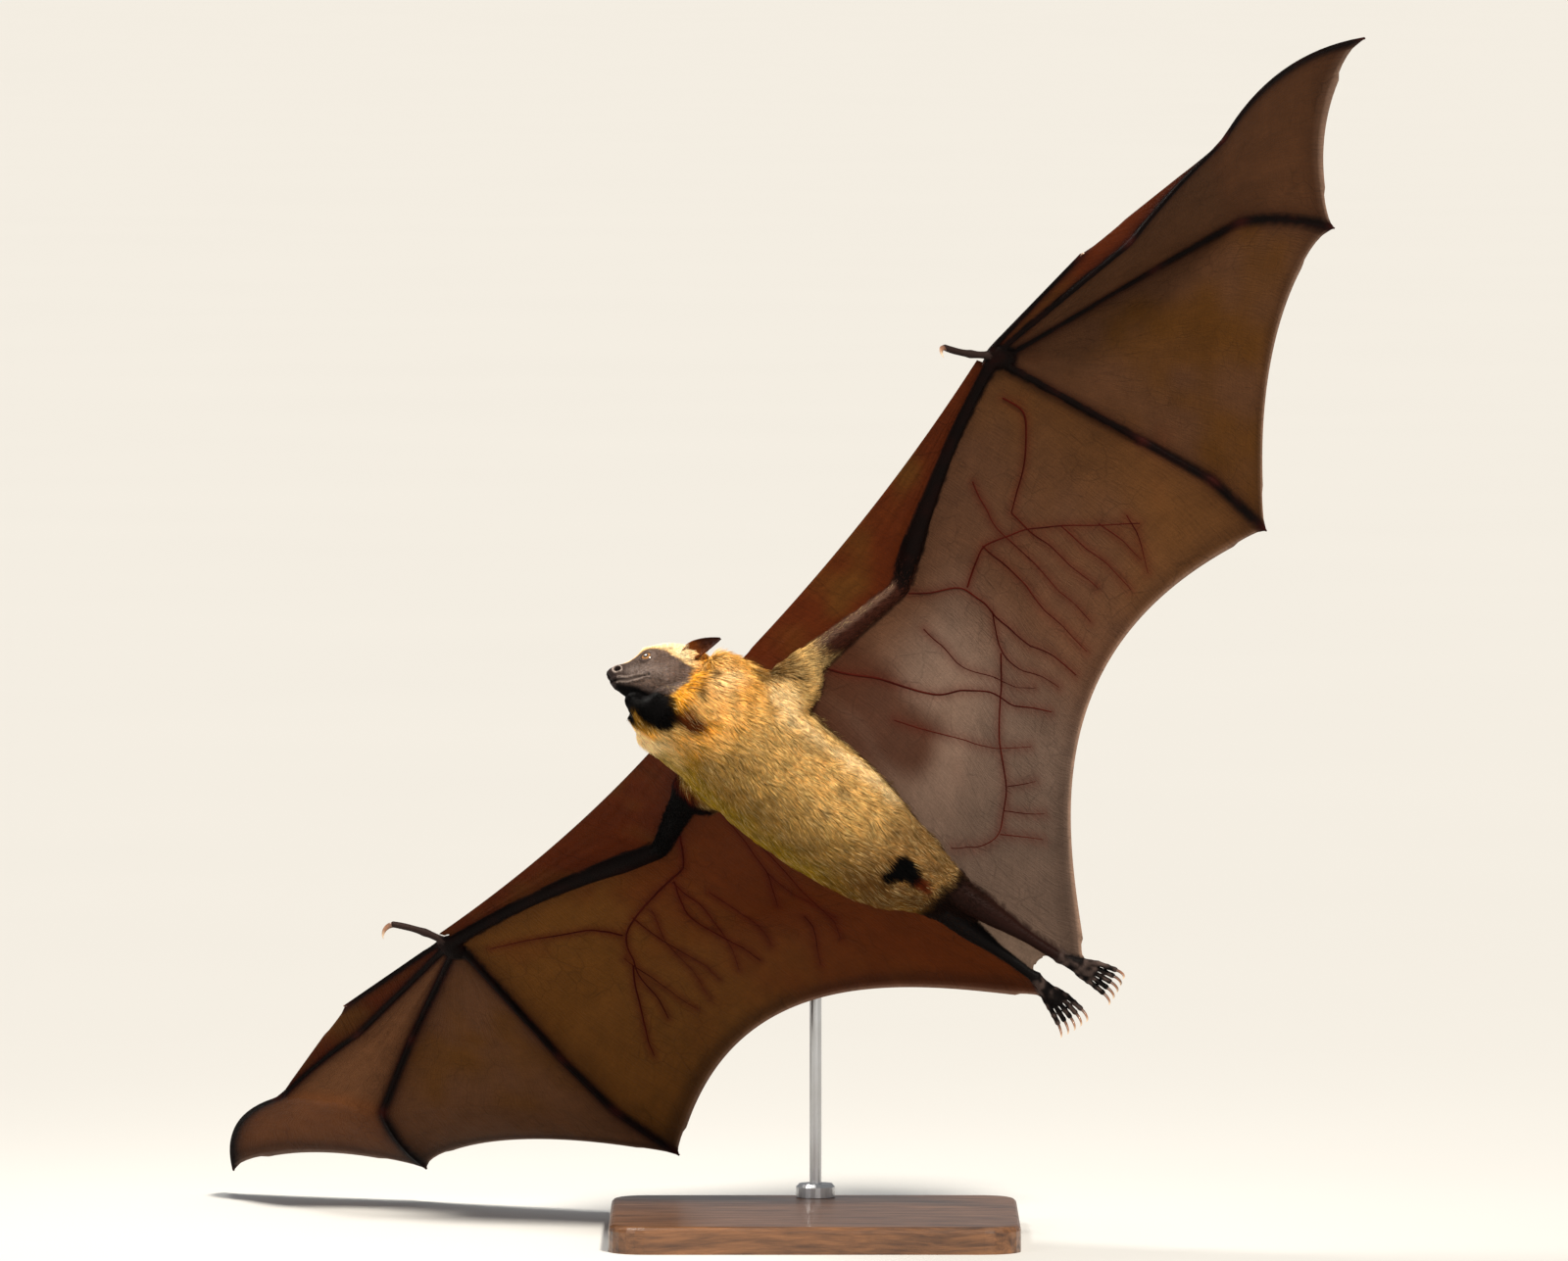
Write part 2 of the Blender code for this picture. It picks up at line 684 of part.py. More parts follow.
def make_base():
    shape = bmesh.new()
    bmesh.ops.create_cube(shape, size=1)
    for vertex in shape.verts:
        vertex.co.x *= BASE_LENGTH * METRES
        vertex.co.y *= BASE_WIDTH * METRES
        vertex.co.z = (vertex.co.z + 0.5) * BASE_THICKNESS * METRES
    upright = [e for e in shape.edges if abs(e.verts[0].co.z - e.verts[1].co.z) > 1e-6]
    round_off(shape, upright, BASE_CORNER, 6)
    top = [
        e for e in shape.edges
        if all(v.co.z > 0.9 * BASE_THICKNESS * METRES for v in e.verts) and e.calc_face_angle(0) > 1
    ]
    round_off(shape, top, BASE_ROUNDING, 3)
    mesh = bpy.data.meshes.new("stand_base")
    shape.to_mesh(mesh)
    shape.free()
    mesh.shade_smooth()
    mesh.set_sharp_from_angle(angle=radians(40))
    mesh.materials.append(material("stand_wood"))
    base = bpy.data.objects.new("stand_base", mesh)
    bpy.context.scene.collection.objects.link(base)
    return base


def make_collar():
    centre = np.array((ROD_X, ROD_BACK_Y, BASE_THICKNESS + GAP))
    profile = ((0, 1.0), (0.75, 1.0), (1.0, 0.85))
    x, y, up = np.eye(3)
    rings = [
        ellipse(centre + up * COLLAR_HEIGHT * h, x, y, COLLAR_RADIUS * r, COLLAR_RADIUS * r, 24)
        for h, r in profile
    ]
    return make_object("stand_collar", *loft(rings), "stand_steel")


# ---------------------------------------------------------------- the whole


def make_wing(side_name, body, leg, limb, foot):
    wing = Wing(side_name)
    trunk, neck = body
    upper = make_upper_arm(wing)
    fore = make_forearm(wing)
    wrist = make_wrist(wing)
    thumb = make_thumb(wing)
    fingers = {name: make_finger(wing, name) for name in FINGERS}
    make_room(upper, trunk, neck)
    make_room(fore, upper, wrist)
    make_room(thumb, wrist, fore)
    for finger in fingers.values():
        make_room(finger, wrist)
    make_room(fingers["index"], thumb)
    shoulder = make_shoulder_membrane(wing)
    make_room(shoulder, trunk, neck, upper, fore, wrist, thumb, solver="MANIFOLD")
    index = make_index_membrane(wing)
    make_room(index, fingers["index"], fingers["third"], wrist, solver="MANIFOLD")
    tip = make_finger_membrane(wing, "tip", "third", "fourth", 3)
    make_room(tip, fingers["third"], fingers["fourth"], wrist, solver="MANIFOLD")
    middle = make_finger_membrane(wing, "middle", "fourth", "fifth", 4)
    make_room(middle, fingers["fourth"], fingers["fifth"], wrist, solver="MANIFOLD")
    side = make_side_membrane(wing, leg)
    make_room(
        side, trunk, upper, fore, wrist, fingers["fifth"], limb, foot, solver="MANIFOLD"
    )


def main():
    for old in list(bpy.data.objects):
        bpy.data.objects.remove(old, do_unlink=True)
    trunk, neck, head = make_trunk(), make_neck(), make_head()
    rod = make_rod()
    make_room(trunk, rod)
    for side_name in SIDES:
        eye, ear = make_eye(side_name), make_ear(side_name)
        make_room(head, eye)
        make_room(neck, eye)
        make_room(ear, head, neck)
    make_room(neck, head)
    legs = {side_name: leg_joints(side_name) for side_name in SIDES}
    limbs, feet = {}, {}
    for side_name, joints in legs.items():
        limbs[side_name] = make_leg(side_name, joints)
        make_room(limbs[side_name], trunk)
        feet[side_name] = make_foot(side_name, joints)
        make_room(feet[side_name], limbs[side_name])
    web = make_tail_membrane(legs["left"], legs["right"])
    make_room(web, trunk, limbs["left"], limbs["right"])
    for side_name in SIDES:
        body = (trunk, neck)
        make_wing(side_name, body, legs[side_name], limbs[side_name], feet[side_name])
    make_base()
    make_room(make_collar(), rod)


main()
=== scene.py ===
"""Looks of the flying fox display model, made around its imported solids.

One skin stands for every piece of flesh, from the same bones and stations as the solids, read at
a finer step and with the coat's depth taken off. Fur is solid tufts over it. Lengths below are in
millimetres, scaled to metres as each mesh is made. The bat faces -X and shows its belly to -Y.
"""

from collections import namedtuple
from math import cos, pi, radians, sin

import bmesh
import bpy
import numpy as np
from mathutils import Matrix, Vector, kdtree


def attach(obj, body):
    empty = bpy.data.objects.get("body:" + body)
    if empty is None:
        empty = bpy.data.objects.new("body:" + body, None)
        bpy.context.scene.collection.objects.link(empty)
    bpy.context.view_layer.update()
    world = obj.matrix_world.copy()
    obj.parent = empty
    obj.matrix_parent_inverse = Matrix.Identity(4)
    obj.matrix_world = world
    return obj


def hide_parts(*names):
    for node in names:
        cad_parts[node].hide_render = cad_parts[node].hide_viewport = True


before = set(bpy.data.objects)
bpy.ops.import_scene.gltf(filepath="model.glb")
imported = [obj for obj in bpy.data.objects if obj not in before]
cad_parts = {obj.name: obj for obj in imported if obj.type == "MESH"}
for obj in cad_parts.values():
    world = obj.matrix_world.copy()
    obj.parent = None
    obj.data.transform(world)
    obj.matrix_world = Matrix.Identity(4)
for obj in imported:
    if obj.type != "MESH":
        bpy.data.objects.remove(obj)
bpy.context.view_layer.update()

METRES = 0.001
SIDES = {"left": 1, "right": -1}

# ---------------------------------------------------------------- anatomy, as in the solids

CHEST = np.array((-33.0, -89.0, 331.5))
SPINE_FORWARD = (-0.733, -0.123, 0.668)
SPINE_LEFT = (0.655, -0.388, 0.648)
# Stations along the spine: forward of the chest, half width, half depth, sideways, up.
BODY_STATIONS = (
    (-164, 6, 6, 7, 0),
    (-153, 18, 16, 4, 0),
    (-131, 29, 25, 0, 0),
    (-111, 35.5, 30, -4, 0),
    (-89, 41.5, 34, -5, 0),
    (-58, 46, 38, -7, 0),
    (-28, 47, 40, -9, 0),
    (2, 47.5, 41, -9, 0),
    (30, 48, 39, -8, 0),
    (46, 46, 38, -10, -1),
    (61, 39, 35, -13.5, -5),
    (75, 20, 19, -25, -15),
    (82, 12, 12, -27, -20),
)
NOSE = (105.6, -33.3, -6)
HEAD_FORWARD = (0.805, -0.558, -0.184)
HEAD_UP = (0.356, 0.327, 0.877)
# Stations behind the nose: distance back, top, bottom, half width.
HEAD_STATIONS = (
    (-2.4, 0.4, -0.4, 0.5),
    (-2.1, 1.6, -1.8, 2.4),
    (-1, 3, -3.4, 4),
    (3, 5.5, -10, 7),
    (11, 10, -16, 8.5),
    (19, 17, -21.5, 11),
    (26, 23.2, -25, 14.5),
    (34, 25.8, -27, 18),
    (43, 26.5, -27, 20.5),
    (53, 25.5, -26, 21),
    (62, 18, -20, 16),
    (67, 8, -11, 8),
)
EYE_CENTRE = (23.8, 9.3, 6.4)
EYE_RADIUS = 5.6
EAR_ROOT = (48.5, 15, 8)
EAR_DIRECTIONS = {"left": (-0.8, 0.3, 0.52), "right": (-0.62, 0.35, 0.7)}
EAR_LENGTH = 25.5
EAR_WIDTH = 14.5
EAR_CURL = 1.15

Bone = namedtuple("Bone", "length left right bow")
SHOULDERS = {"left": (23, 20, 0), "right": (18, -41.5, -3)}
HUMERUS = Bone(122, (-13, 36), (-18, 33), 0)
FOREARM = Bone(168, (22, 9), (17, 4.5), 5)
THUMB = Bone(40, (106, -38), (73, -16), 2)
FINGER_BASES = {"index": (6, -3.5), "third": (7, 2.5), "fourth": (5, 8.5), "fifth": (-2, 12.5)}
FINGERS = {
    "index": (Bone(88, (1, 9), (8, 4), 0),),
    "third": (
        Bone(116, (-5, 4), (-4, 18), 0),
        Bone(91.5, (2, 10.5), (1, 14), 2),
        Bone(118, (-17, 37), (-14.5, 32), 14),
    ),
    "fourth": (
        Bone(113, (-21, 29.5), (-18.5, 27.5), 0),
        Bone(65.5, (-16, 7), (-22, 5), 0),
        Bone(67, (-62, 28), (-65, 27), 4),
    ),
    "fifth": (
        Bone(109, (-85, 19), (-75.5, 16), 0),
        Bone(54.5, (-78.5, 5.5), (-85, 4.5), 0),
        Bone(51, (-95, 9.5), (-100.5, -4.5), 0),
    ),
}
FINGER_RADII = {"index": (1.7, 0.9), "third": (2.3, 0.9), "fourth": (2.0, 0.9), "fifth": (2.3, 0.9)}
UPPER_ARM_RADII = (12, 11, 9.5, 8, 7)
FOREARM_RADII = (7, 8, 6.8, 5.6, 5, 4.6, 4.6)
THUMB_RADII = (3.4, 2.6, 2.4, 2.5, 2.2)
WRIST_PLACE = (2.5, 4.5)
WRIST_SIZE = (8, 10.5, 4.6)
SCALLOPS = {"tip": (17, 0.88), "middle": (22.4, 0.77), "side": (64, 1.12)}
BILLOW = 6
SHOULDER_EDGE_ROOT = (50, -12, 6)
SHOULDER_EDGE_ASIDE = 22
SHOULDER_EDGE_HOLLOW = 9
FLANK_HEIGHT = 8
FLANK_SHARE = 0.7

LEGS = {
    "left": ((-128, 14, 4), (-165, 16, -2), (-237, 32, -7), (-257, 38, -5)),
    "right": ((-128, -12, 4), (-162, -1, 0), (-236, 9, -6), (-256, 5.5, -3)),
}
LEG_RADII = (12, 11, 8.2, 5.8, 3.7, 3.5)
FOOT_RADII = (3.9, 4.4, 6.2, 4.4)
SOLE_HALF_WIDTH = 5.2
TOE_LENGTH = 18.5
TOE_FAN = (-12, -6, 0, 6, 12)
CLAW_LENGTH = 14.5
CLAW_RADIUS = 1.45
THUMB_CLAW_LENGTH = 15
THUMB_CLAW_RADIUS = 2.0
TAIL_WEB_HOLLOW = 8

# The regions of the skin.
BODY, HEAD_SKIN, EAR, ARM, MEMBRANE, LEG, THUMB_SKIN, LID = range(8)


def unit(vector):
    vector = np.asarray(vector, float)
    return vector / np.linalg.norm(vector)


def units(rows):
    return rows / np.maximum(np.linalg.norm(rows, axis=-1), 1e-9)[..., None]


def frame_from(forward, left):
    """Rows forward, left and up, at right angles to each other."""
    forward = unit(forward)
    left = unit(left - forward * np.dot(left, forward))
    return np.array((forward, left, np.cross(forward, left)))


SPINE = frame_from(SPINE_FORWARD, np.array(SPINE_LEFT))
HEAD = frame_from(
    np.dot(HEAD_FORWARD, SPINE),
    np.cross(np.dot(HEAD_UP, SPINE), np.dot(HEAD_FORWARD, SPINE)),
)


def on_body(forward, left, up):
    return CHEST + np.dot((forward, left, up), SPINE)


def on_head(back, left, up):
    return on_body(*NOSE) + np.dot((-back, left, up), HEAD)


def body_coordinates(points):
    """Forward of the chest, left and up, for each point."""
    return (points - CHEST) @ SPINE.T


def head_coordinates(points):
    """Back from the nose, left and up, for each point."""
    return (points - on_body(*NOSE)) @ (HEAD.T * np.array((-1, 1, 1)))


def outward(side, sweep, rise):
    """The direction of a bone, and the direction of its leading side."""
    sweep = radians(sweep)
    rise = radians(rise)
    along = (cos(rise) * sin(sweep), side * cos(rise) * cos(sweep), sin(rise))
    leading = (cos(rise) * cos(sweep), -side * cos(rise) * sin(sweep), 0)
    return np.dot(along, SPINE), unit(np.dot(leading, SPINE))


def bone_points(start, bone, side_name, steps):
    """Points along one bone, which bows towards its leading side."""
    along, leading = outward(SIDES[side_name], *getattr(bone, side_name))
    t = np.linspace(0, 1, steps + 1)[:, None]
    return start + along * bone.length * t + leading * bone.bow * 4 * t * (1 - t)


FINGER_STEPS = 16


class Wing:
    """The joints and curves of one wing."""

    def __init__(self, side_name):
        self.name = side_name
        self.side = SIDES[side_name]
        self.shoulder = on_body(*SHOULDERS[side_name])
        self.upper = bone_points(self.shoulder, HUMERUS, side_name, 24)
        self.elbow = self.upper[-1]
        self.fore = bone_points(self.elbow, FOREARM, side_name, 36)
        self.wrist = self.fore[-1]
        along, _ = outward(self.side, *getattr(FOREARM, side_name))
        trailing, _ = outward(self.side, *getattr(FINGERS["fifth"][0], side_name))
        self.along = along
        self.trailing = unit(trailing - along * np.dot(trailing, along))
        self.normal = unit(np.cross(self.along, self.trailing)) * self.side
        self.fingers = {name: self.finger(name) for name in FINGERS}
        self.thumb = bone_points(self.wrist + along * 3, THUMB, side_name, 20)
        self.arm = np.concatenate([self.upper, self.fore[1:]])

    def finger(self, name):
        """Points from the wrist to the tip, with the same number along each bone."""
        distal, trailing = FINGER_BASES[name]
        start = self.wrist + self.along * distal + self.trailing * trailing
        pieces = []
        for bone in FINGERS[name]:
            points = bone_points(start, bone, self.name, FINGER_STEPS)
            start = points[-1]
            pieces.append(points if not pieces else points[1:])
        return np.concatenate(pieces)


def leg_joints(side_name):
    return np.array([on_body(*joint) for joint in LEGS[side_name]])


WINGS = {name: Wing(name) for name in SIDES}
LEG_JOINTS = {name: leg_joints(name) for name in SIDES}

# ---------------------------------------------------------------- small mathematics


def smoothstep(low, high, x):
    t = np.clip((np.asarray(x, float) - low) / (high - low), 0, 1)
    return t * t * (3 - 2 * t)


def bell(x, width):
    return np.exp(-((np.asarray(x, float) / width) ** 2))


def blend(first, second, share):
    """Colours or vectors, row by row, from first to second."""
    share = np.asarray(share, float)[..., None]
    return first * (1 - share) + second * share


# Large odd numbers that scatter the values of neighbouring cells.
CELL_PRIMES = np.array((73856093, 19349663, 83492791))
CELL_MIX = 1274126177
CELL_LEVELS = 0xFFFF
# How far apart the noises of two seeds are read, and how far all of them from the origin.
SEED_SHIFT = 17.37
ORIGIN_SHIFT = 1000


def noise(points, size, seed=0):
    """Smooth noise from -1 to 1 at each point, with lumps about this size across."""
    at = np.asarray(points, float) / size + seed * SEED_SHIFT + ORIGIN_SHIFT
    cell = np.floor(at).astype(np.int64)
    part = at - cell
    part = part * part * (3 - 2 * part)
    total = np.zeros(len(at))
    for corner in np.ndindex(2, 2, 2):
        mixed = np.bitwise_xor.reduce((cell + corner) * CELL_PRIMES, axis=1)
        mixed = (mixed ^ (mixed >> 13)) * CELL_MIX
        value = ((mixed >> 8) & CELL_LEVELS) / (CELL_LEVELS / 2) - 1
        total += value * np.prod(np.where(corner, part, 1 - part), axis=1)
    return total


def turns(count):
    """Angles spaced evenly round a circle."""
    return np.arange(count) * 2 * pi / count


def grid_shares(rows, columns):
    """The share down and the share across at each point of a grid."""
    return np.meshgrid(np.linspace(0, 1, rows), np.linspace(0, 1, columns), indexing="ij")


def grid_normals(grid):
    return units(np.cross(np.gradient(grid, axis=0), np.gradient(grid, axis=1)))


def lengths_along(path):
    """How far each point of a path is from its start, along the path."""
    return np.concatenate([[0], np.cumsum(np.linalg.norm(np.diff(path, axis=0), axis=1))])


def along_path(path, t):
    """The points at shares t of the way along a path."""
    lengths = lengths_along(path)
    at = np.asarray(t) * lengths[-1]
    return np.stack([np.interp(at, lengths, path[:, axis]) for axis in range(3)], axis=-1)


def softened(stations, at, softness):
    """Station values read at places along the first column, with their corners rounded."""
    stations = np.asarray(stations, float)
    reach = np.linspace(-2, 2, 17) * softness
    weights = np.exp(-((reach / softness) ** 2))
    total = 0
    for offset, weight in zip(reach, weights):
        place = np.clip(at + offset, stations[0, 0], stations[-1, 0])
        values = [np.interp(place, stations[:, 0], column) for column in stations.T[1:]]
        total = total + weight * np.stack(values, axis=-1)
    return total / weights.sum()


def linear(red, green, blue):
    """A colour named by its 0 to 255 screen values, as scene-linear numbers."""
    value = np.array((red, green, blue)) / 255
    return np.where(value <= 0.04045, value / 12.92, ((value + 0.055) / 1.055) ** 2.4)


# ---------------------------------------------------------------- meshes


def closed_loft(grid):
    """A closed body through rings (rows of a grid), with a fan of triangles at each end."""
    rows, count = grid.shape[:2]
    points = np.concatenate([grid.reshape(-1, 3), [grid[0].mean(0)], [grid[-1].mean(0)]])
    r, c = np.meshgrid(np.arange(rows - 1), np.arange(count), indexing="ij")
    d = (c + 1) % count
    quads = np.stack([r * count + c, r * count + d, (r + 1) * count + d, (r + 1) * count + c], -1)
    c = np.arange(count)
    d = (c + 1) % count
    first = np.full(count, rows * count)
    last = first + 1
    base = (rows - 1) * count
    tris = np.concatenate([np.stack([d, c, first], -1), np.stack([base + c, base + d, last], -1)])
    return points, quads.reshape(-1, 4), tris


def closed_ring(grid):
    """A closed body like a tyre: a grid whose rows and columns both go round."""
    rows, count = grid.shape[:2]
    r, c = np.meshgrid(np.arange(rows), np.arange(count), indexing="ij")
    s, d = (r + 1) % rows, (c + 1) % count
    quads = np.stack([r * count + c, r * count + d, s * count + d, s * count + c], -1)
    return grid.reshape(-1, 3), quads.reshape(-1, 4), np.zeros((0, 3), int)


def closed_sheet(grid, thickness):
    """A thin closed sheet whose middle surface is a grid of points."""
    rows, columns = grid.shape[:2]
    half = grid_normals(grid) * (np.asarray(thickness) / 2)[..., None]
    points = np.concatenate([(grid + half).reshape(-1, 3), (grid - half).reshape(-1, 3)])
    under = rows * columns
    r, c = np.meshgrid(np.arange(rows - 1), np.arange(columns - 1), indexing="ij")
    a = (r * columns + c).ravel()
    top = np.stack([a, a + 1, a + columns + 1, a + columns], -1)
    rim = list(range(columns))
    rim += [r * columns + columns - 1 for r in range(1, rows)]
    rim += [(rows - 1) * columns + c for c in range(columns - 2, -1, -1)]
    rim += [r * columns for r in range(rows - 2, 0, -1)]
    a, b = np.array(rim), np.roll(rim, -1)
    walls = np.stack([b, a, a + under, b + under], -1)
    quads = np.concatenate([top, top[:, ::-1] + under, walls])
    return points, quads, np.zeros((0, 3), int)


# The rings that round off the end of a tube, and how far the end stands out.
END_ANGLES = (radians(35), radians(65))
END_BULGE = 0.8


def tube_grid(path, radii, count, flatten=1.0, upward=None, ends=True):
    """Rings round a path, with both ends rounded off."""
    path = np.asarray(path, float)
    radii = np.asarray(radii, float)
    if ends:
        first, last = unit(path[0] - path[1]), unit(path[-1] - path[-2])
        before = [path[0] + first * radii[0] * sin(a) * END_BULGE for a in END_ANGLES[::-1]]
        after = [path[-1] + last * radii[-1] * sin(a) * END_BULGE for a in END_ANGLES]
        path = np.concatenate([before, path, after])
        shrink = np.cos(END_ANGLES)
        radii = np.concatenate([radii[0] * shrink[::-1], radii, radii[-1] * shrink])
    tangents = units(np.gradient(path, axis=0))
    upward = SPINE[2] if upward is None else upward
    angle = turns(count)
    grid = []
    for centre, tangent, radius in zip(path, tangents, radii):
        upward = unit(upward - tangent * np.dot(upward, tangent))
        across = np.cross(tangent, upward)
        ring = np.outer(np.cos(angle), across) + np.outer(np.sin(angle), upward) * flatten
        grid.append(centre + ring * radius)
    return np.array(grid)


def resampled(values, count):
    values = np.asarray(values, float)
    return np.interp(np.linspace(0, 1, count), np.linspace(0, 1, len(values)), values)


POLE_GAP = 0.08


def ball_grid(centre, axes, sizes, rows=16, count=24):
    """Rings of an ellipsoid: its axes are rows, the first one the pole."""
    polar = np.linspace(POLE_GAP, pi - POLE_GAP, rows)
    angle = turns(count)
    pole = np.cos(polar)[:, None, None] * axes[0] * sizes[0]
    side = np.cos(angle)[:, None] * axes[1] * sizes[1] + np.sin(angle)[:, None] * axes[2] * sizes[2]
    return centre + pole + np.sin(polar)[:, None, None] * side


def turned_out(points, quads, tris):
    """The faces, all turned round if the body is inside out."""
    corners = np.concatenate([quads[:, [0, 1, 2]], quads[:, [0, 2, 3]], tris])
    if np.linalg.det(points[corners] - points.mean(0)).sum() < 0:
        return points, quads[:, ::-1], tris[:, ::-1]
    return points, quads, tris


def joined(shapes):
    """Several closed shapes as the points, quads and triangles of one mesh."""
    bodies = []
    offset = 0
    for shape in shapes:
        points, quads, tris = turned_out(*shape)
        bodies.append((points, quads + offset, tris + offset))
        offset += len(points)
    return [np.concatenate(part) for part in zip(*bodies)]


def filled_mesh(name, points, corners, starts):
    """A mesh from its points, the corners of its faces in turn, and where each face starts."""
    mesh = bpy.data.meshes.new(name)
    mesh.vertices.add(len(points))
    mesh.vertices.foreach_set("co", (points * METRES).astype(np.float32).ravel())
    mesh.loops.add(len(corners))
    mesh.loops.foreach_set("vertex_index", corners.astype(np.int32))
    mesh.polygons.add(len(starts))
    mesh.polygons.foreach_set("loop_start", starts.astype(np.int32))
    mesh.update(calc_edges=True)
    return mesh


def new_mesh(name, points, quads, tris):
    points, quads, tris = turned_out(points, quads, tris)
    corners = np.concatenate([quads.ravel(), tris.ravel()])
    starts = np.concatenate([np.arange(len(quads)) * 4, quads.size + np.arange(len(tris)) * 3])
    return filled_mesh(name, points, corners, starts)


def new_object(name, mesh, material=None):
    made = bpy.data.objects.new(name, mesh)
    bpy.context.scene.collection.objects.link(made)
    if material:
        mesh.materials.clear()
        mesh.materials.append(material)
    return made


def read(items, field, width, kind=np.float32):
    """One field of a mesh's points, edges or triangles, as the rows of an array."""
    values = np.empty(len(items) * width, kind)
    items.foreach_get(field, values)
    return values.reshape(-1, width)


def points_of(mesh):
    return read(mesh.vertices, "co", 3).astype(float) / METRES


def normals_of(mesh):
    return read(mesh.vertex_normals, "vector", 3).astype(float)


def edges_of(mesh):
    return read(mesh.edges, "vertices", 2, np.int32)


def triangles_of(mesh):
    mesh.calc_loop_triangles()
    return read(mesh.loop_triangles, "vertices", 3, np.int32)


def move_points(mesh, points):
    mesh.vertices.foreach_set("co", (points * METRES).astype(np.float32).ravel())
    mesh.update()


def baked(obj):
    """The object's mesh with its modifiers applied. The object itself is removed."""
    graph = bpy.context.evaluated_depsgraph_get()
    mesh = bpy.data.meshes.new_from_object(obj.evaluated_get(graph))
    bpy.data.objects.remove(obj)
    return mesh


def boolean(first, others, operation="UNION"):
    """The first mesh united with, or cut by, each of the others."""
    body = new_object("joining", first)
    helpers = []
    for other in others:
        helper = new_object("joined", other)
        helpers.append(helper)
        step = body.modifiers.new("join", "BOOLEAN")
        step.object = helper
        step.operation = operation
        step.solver = "MANIFOLD"
    mesh = baked(body)
    for helper in helpers:
        bpy.data.objects.remove(helper)
    return mesh


def averaged(values, edges, mask, rounds, share=0.5):
    """Values smoothed over the edges, only where the mask is above 0."""
    count = np.zeros(len(values))
    np.add.at(count, edges.ravel(), 1)
    shape = (-1,) + (1,) * (values.ndim - 1)
    count = np.maximum(count, 1).reshape(shape)
    strength = (np.asarray(mask, float) * share).reshape(shape)
    for _ in range(rounds):
        total = np.zeros_like(values)
        np.add.at(total, edges[:, 0], values[edges[:, 1]])
        np.add.at(total, edges[:, 1], values[edges[:, 0]])
        values = values + (total / count - values) * strength
    return values


def colour_attribute(mesh, name, colours):
    attribute = mesh.color_attributes.new(name, "FLOAT_COLOR", "POINT")
    rgba = np.ones((len(colours), 4), np.float32)
    rgba[:, :3] = colours
    attribute.data.foreach_set("color", rgba.ravel())


def vector_attribute(mesh, name, rows):
    attribute = mesh.attributes.new(name, "FLOAT_VECTOR", "POINT")
    attribute.data.foreach_set("vector", np.asarray(rows, np.float32).ravel())


def float_attribute(mesh, name, values):
    attribute = mesh.attributes.new(name, "FLOAT", "POINT")
    attribute.data.foreach_set("value", np.asarray(values, np.float32))


def nearest(tree_points, points):
    """For each point, the index of and the distance to the nearest tree point."""
    tree = kdtree.KDTree(len(tree_points))
    for i, point in enumerate(tree_points):
        tree.insert(point, i)
    tree.balance()
    found = [tree.find(point)[1:] for point in points]
    return np.array([f[0] for f in found]), np.array([f[1] for f in found])


def distance_to(places, points):
    """For each point, how far the nearest of a few places is."""
    return np.min(np.linalg.norm(points[:, None] - np.array(places), axis=2), axis=1)


def smooth_shaded(mesh):
    mesh.polygons.foreach_set("use_smooth", np.ones(len(mesh.polygons), bool))


# ---------------------------------------------------------------- the flesh, piece by piece

# The kinds of membrane. 0 is none.
SHOULDER_SHEET, INDEX_SHEET, TIP_SHEET, MIDDLE_SHEET, SIDE_SHEET, TAIL_SHEET = range(1, 7)

# The columns of the facts that go with each point: its region, kind of membrane and side of the
# body, its place across and along, and the number of its piece.
REGION, KIND, SIDE, ACROSS, ALONG, PIECE = range(6)


class Flesh:
    """Closed pieces that become one skin, and the facts of their points."""

    def __init__(self):
        self.points = []
        self.facts = []
        self.pieces = 0

    def note(self, points, region, kind=0, side=0, across=0.0, along=0.0):
        facts = np.zeros((len(points), PIECE + 1))
        for column, value in enumerate((region, kind, side, across, along, self.pieces)):
            facts[:, column] = value
        self.pieces += 1
        self.points.append(points)
        self.facts.append(facts)

    def add(self, shape, region, **facts):
        self.note(shape[0], region, **facts)
        return new_mesh("flesh", *shape)


flesh = Flesh()

# Where the skin of trunk and neck starts and ends, forward of the chest.
TRUNK_END, NECK_END = -162, 80
TRUNK_ROWS, TRUNK_COLUMNS = 110, 72
# How deep the coat is over the skin: forward of the chest, depth.
COAT_DEPTHS = ((-164, 1.5), (-131, 2.6), (-89, 4.2), (30, 4.4), (50, 2.8), (64, 1.2), (82, 0.6))
ARM_COAT = 1.6
# Soft places under the chin and behind the ears: centre in the spine's frame, radius.
SOFT_FILLS = (
    ((85, -27.5, -23.5), 7),
    ((81, -28, -29), 6),
    ((59.5, 22, -4), 7.5),
    ((52.5, 25, -2), 8),
)
# The muscle over each shoulder: how far out along the arm, and its half sizes.
MUSCLE_SHARE = 0.12
MUSCLE_SIZES = (30, 15, 11)
BODY_VOXEL = 2.25 * METRES
LEG_STEPS = 40


def body_loft():
    at = np.linspace(TRUNK_END, NECK_END, TRUNK_ROWS)
    half_width, half_depth, aside, rise = softened(BODY_STATIONS, at, 8).T
    coat = np.interp(at, *np.array(COAT_DEPTHS).T)
    angle = turns(TRUNK_COLUMNS)
    left = aside[:, None] + (half_width - coat)[:, None] * np.cos(angle)
    up = rise[:, None] + (half_depth - coat)[:, None] * np.sin(angle)
    forward = np.broadcast_to(at[:, None], left.shape)
    place = np.stack([forward, left, up], -1)
    return closed_loft(CHEST + place @ SPINE)


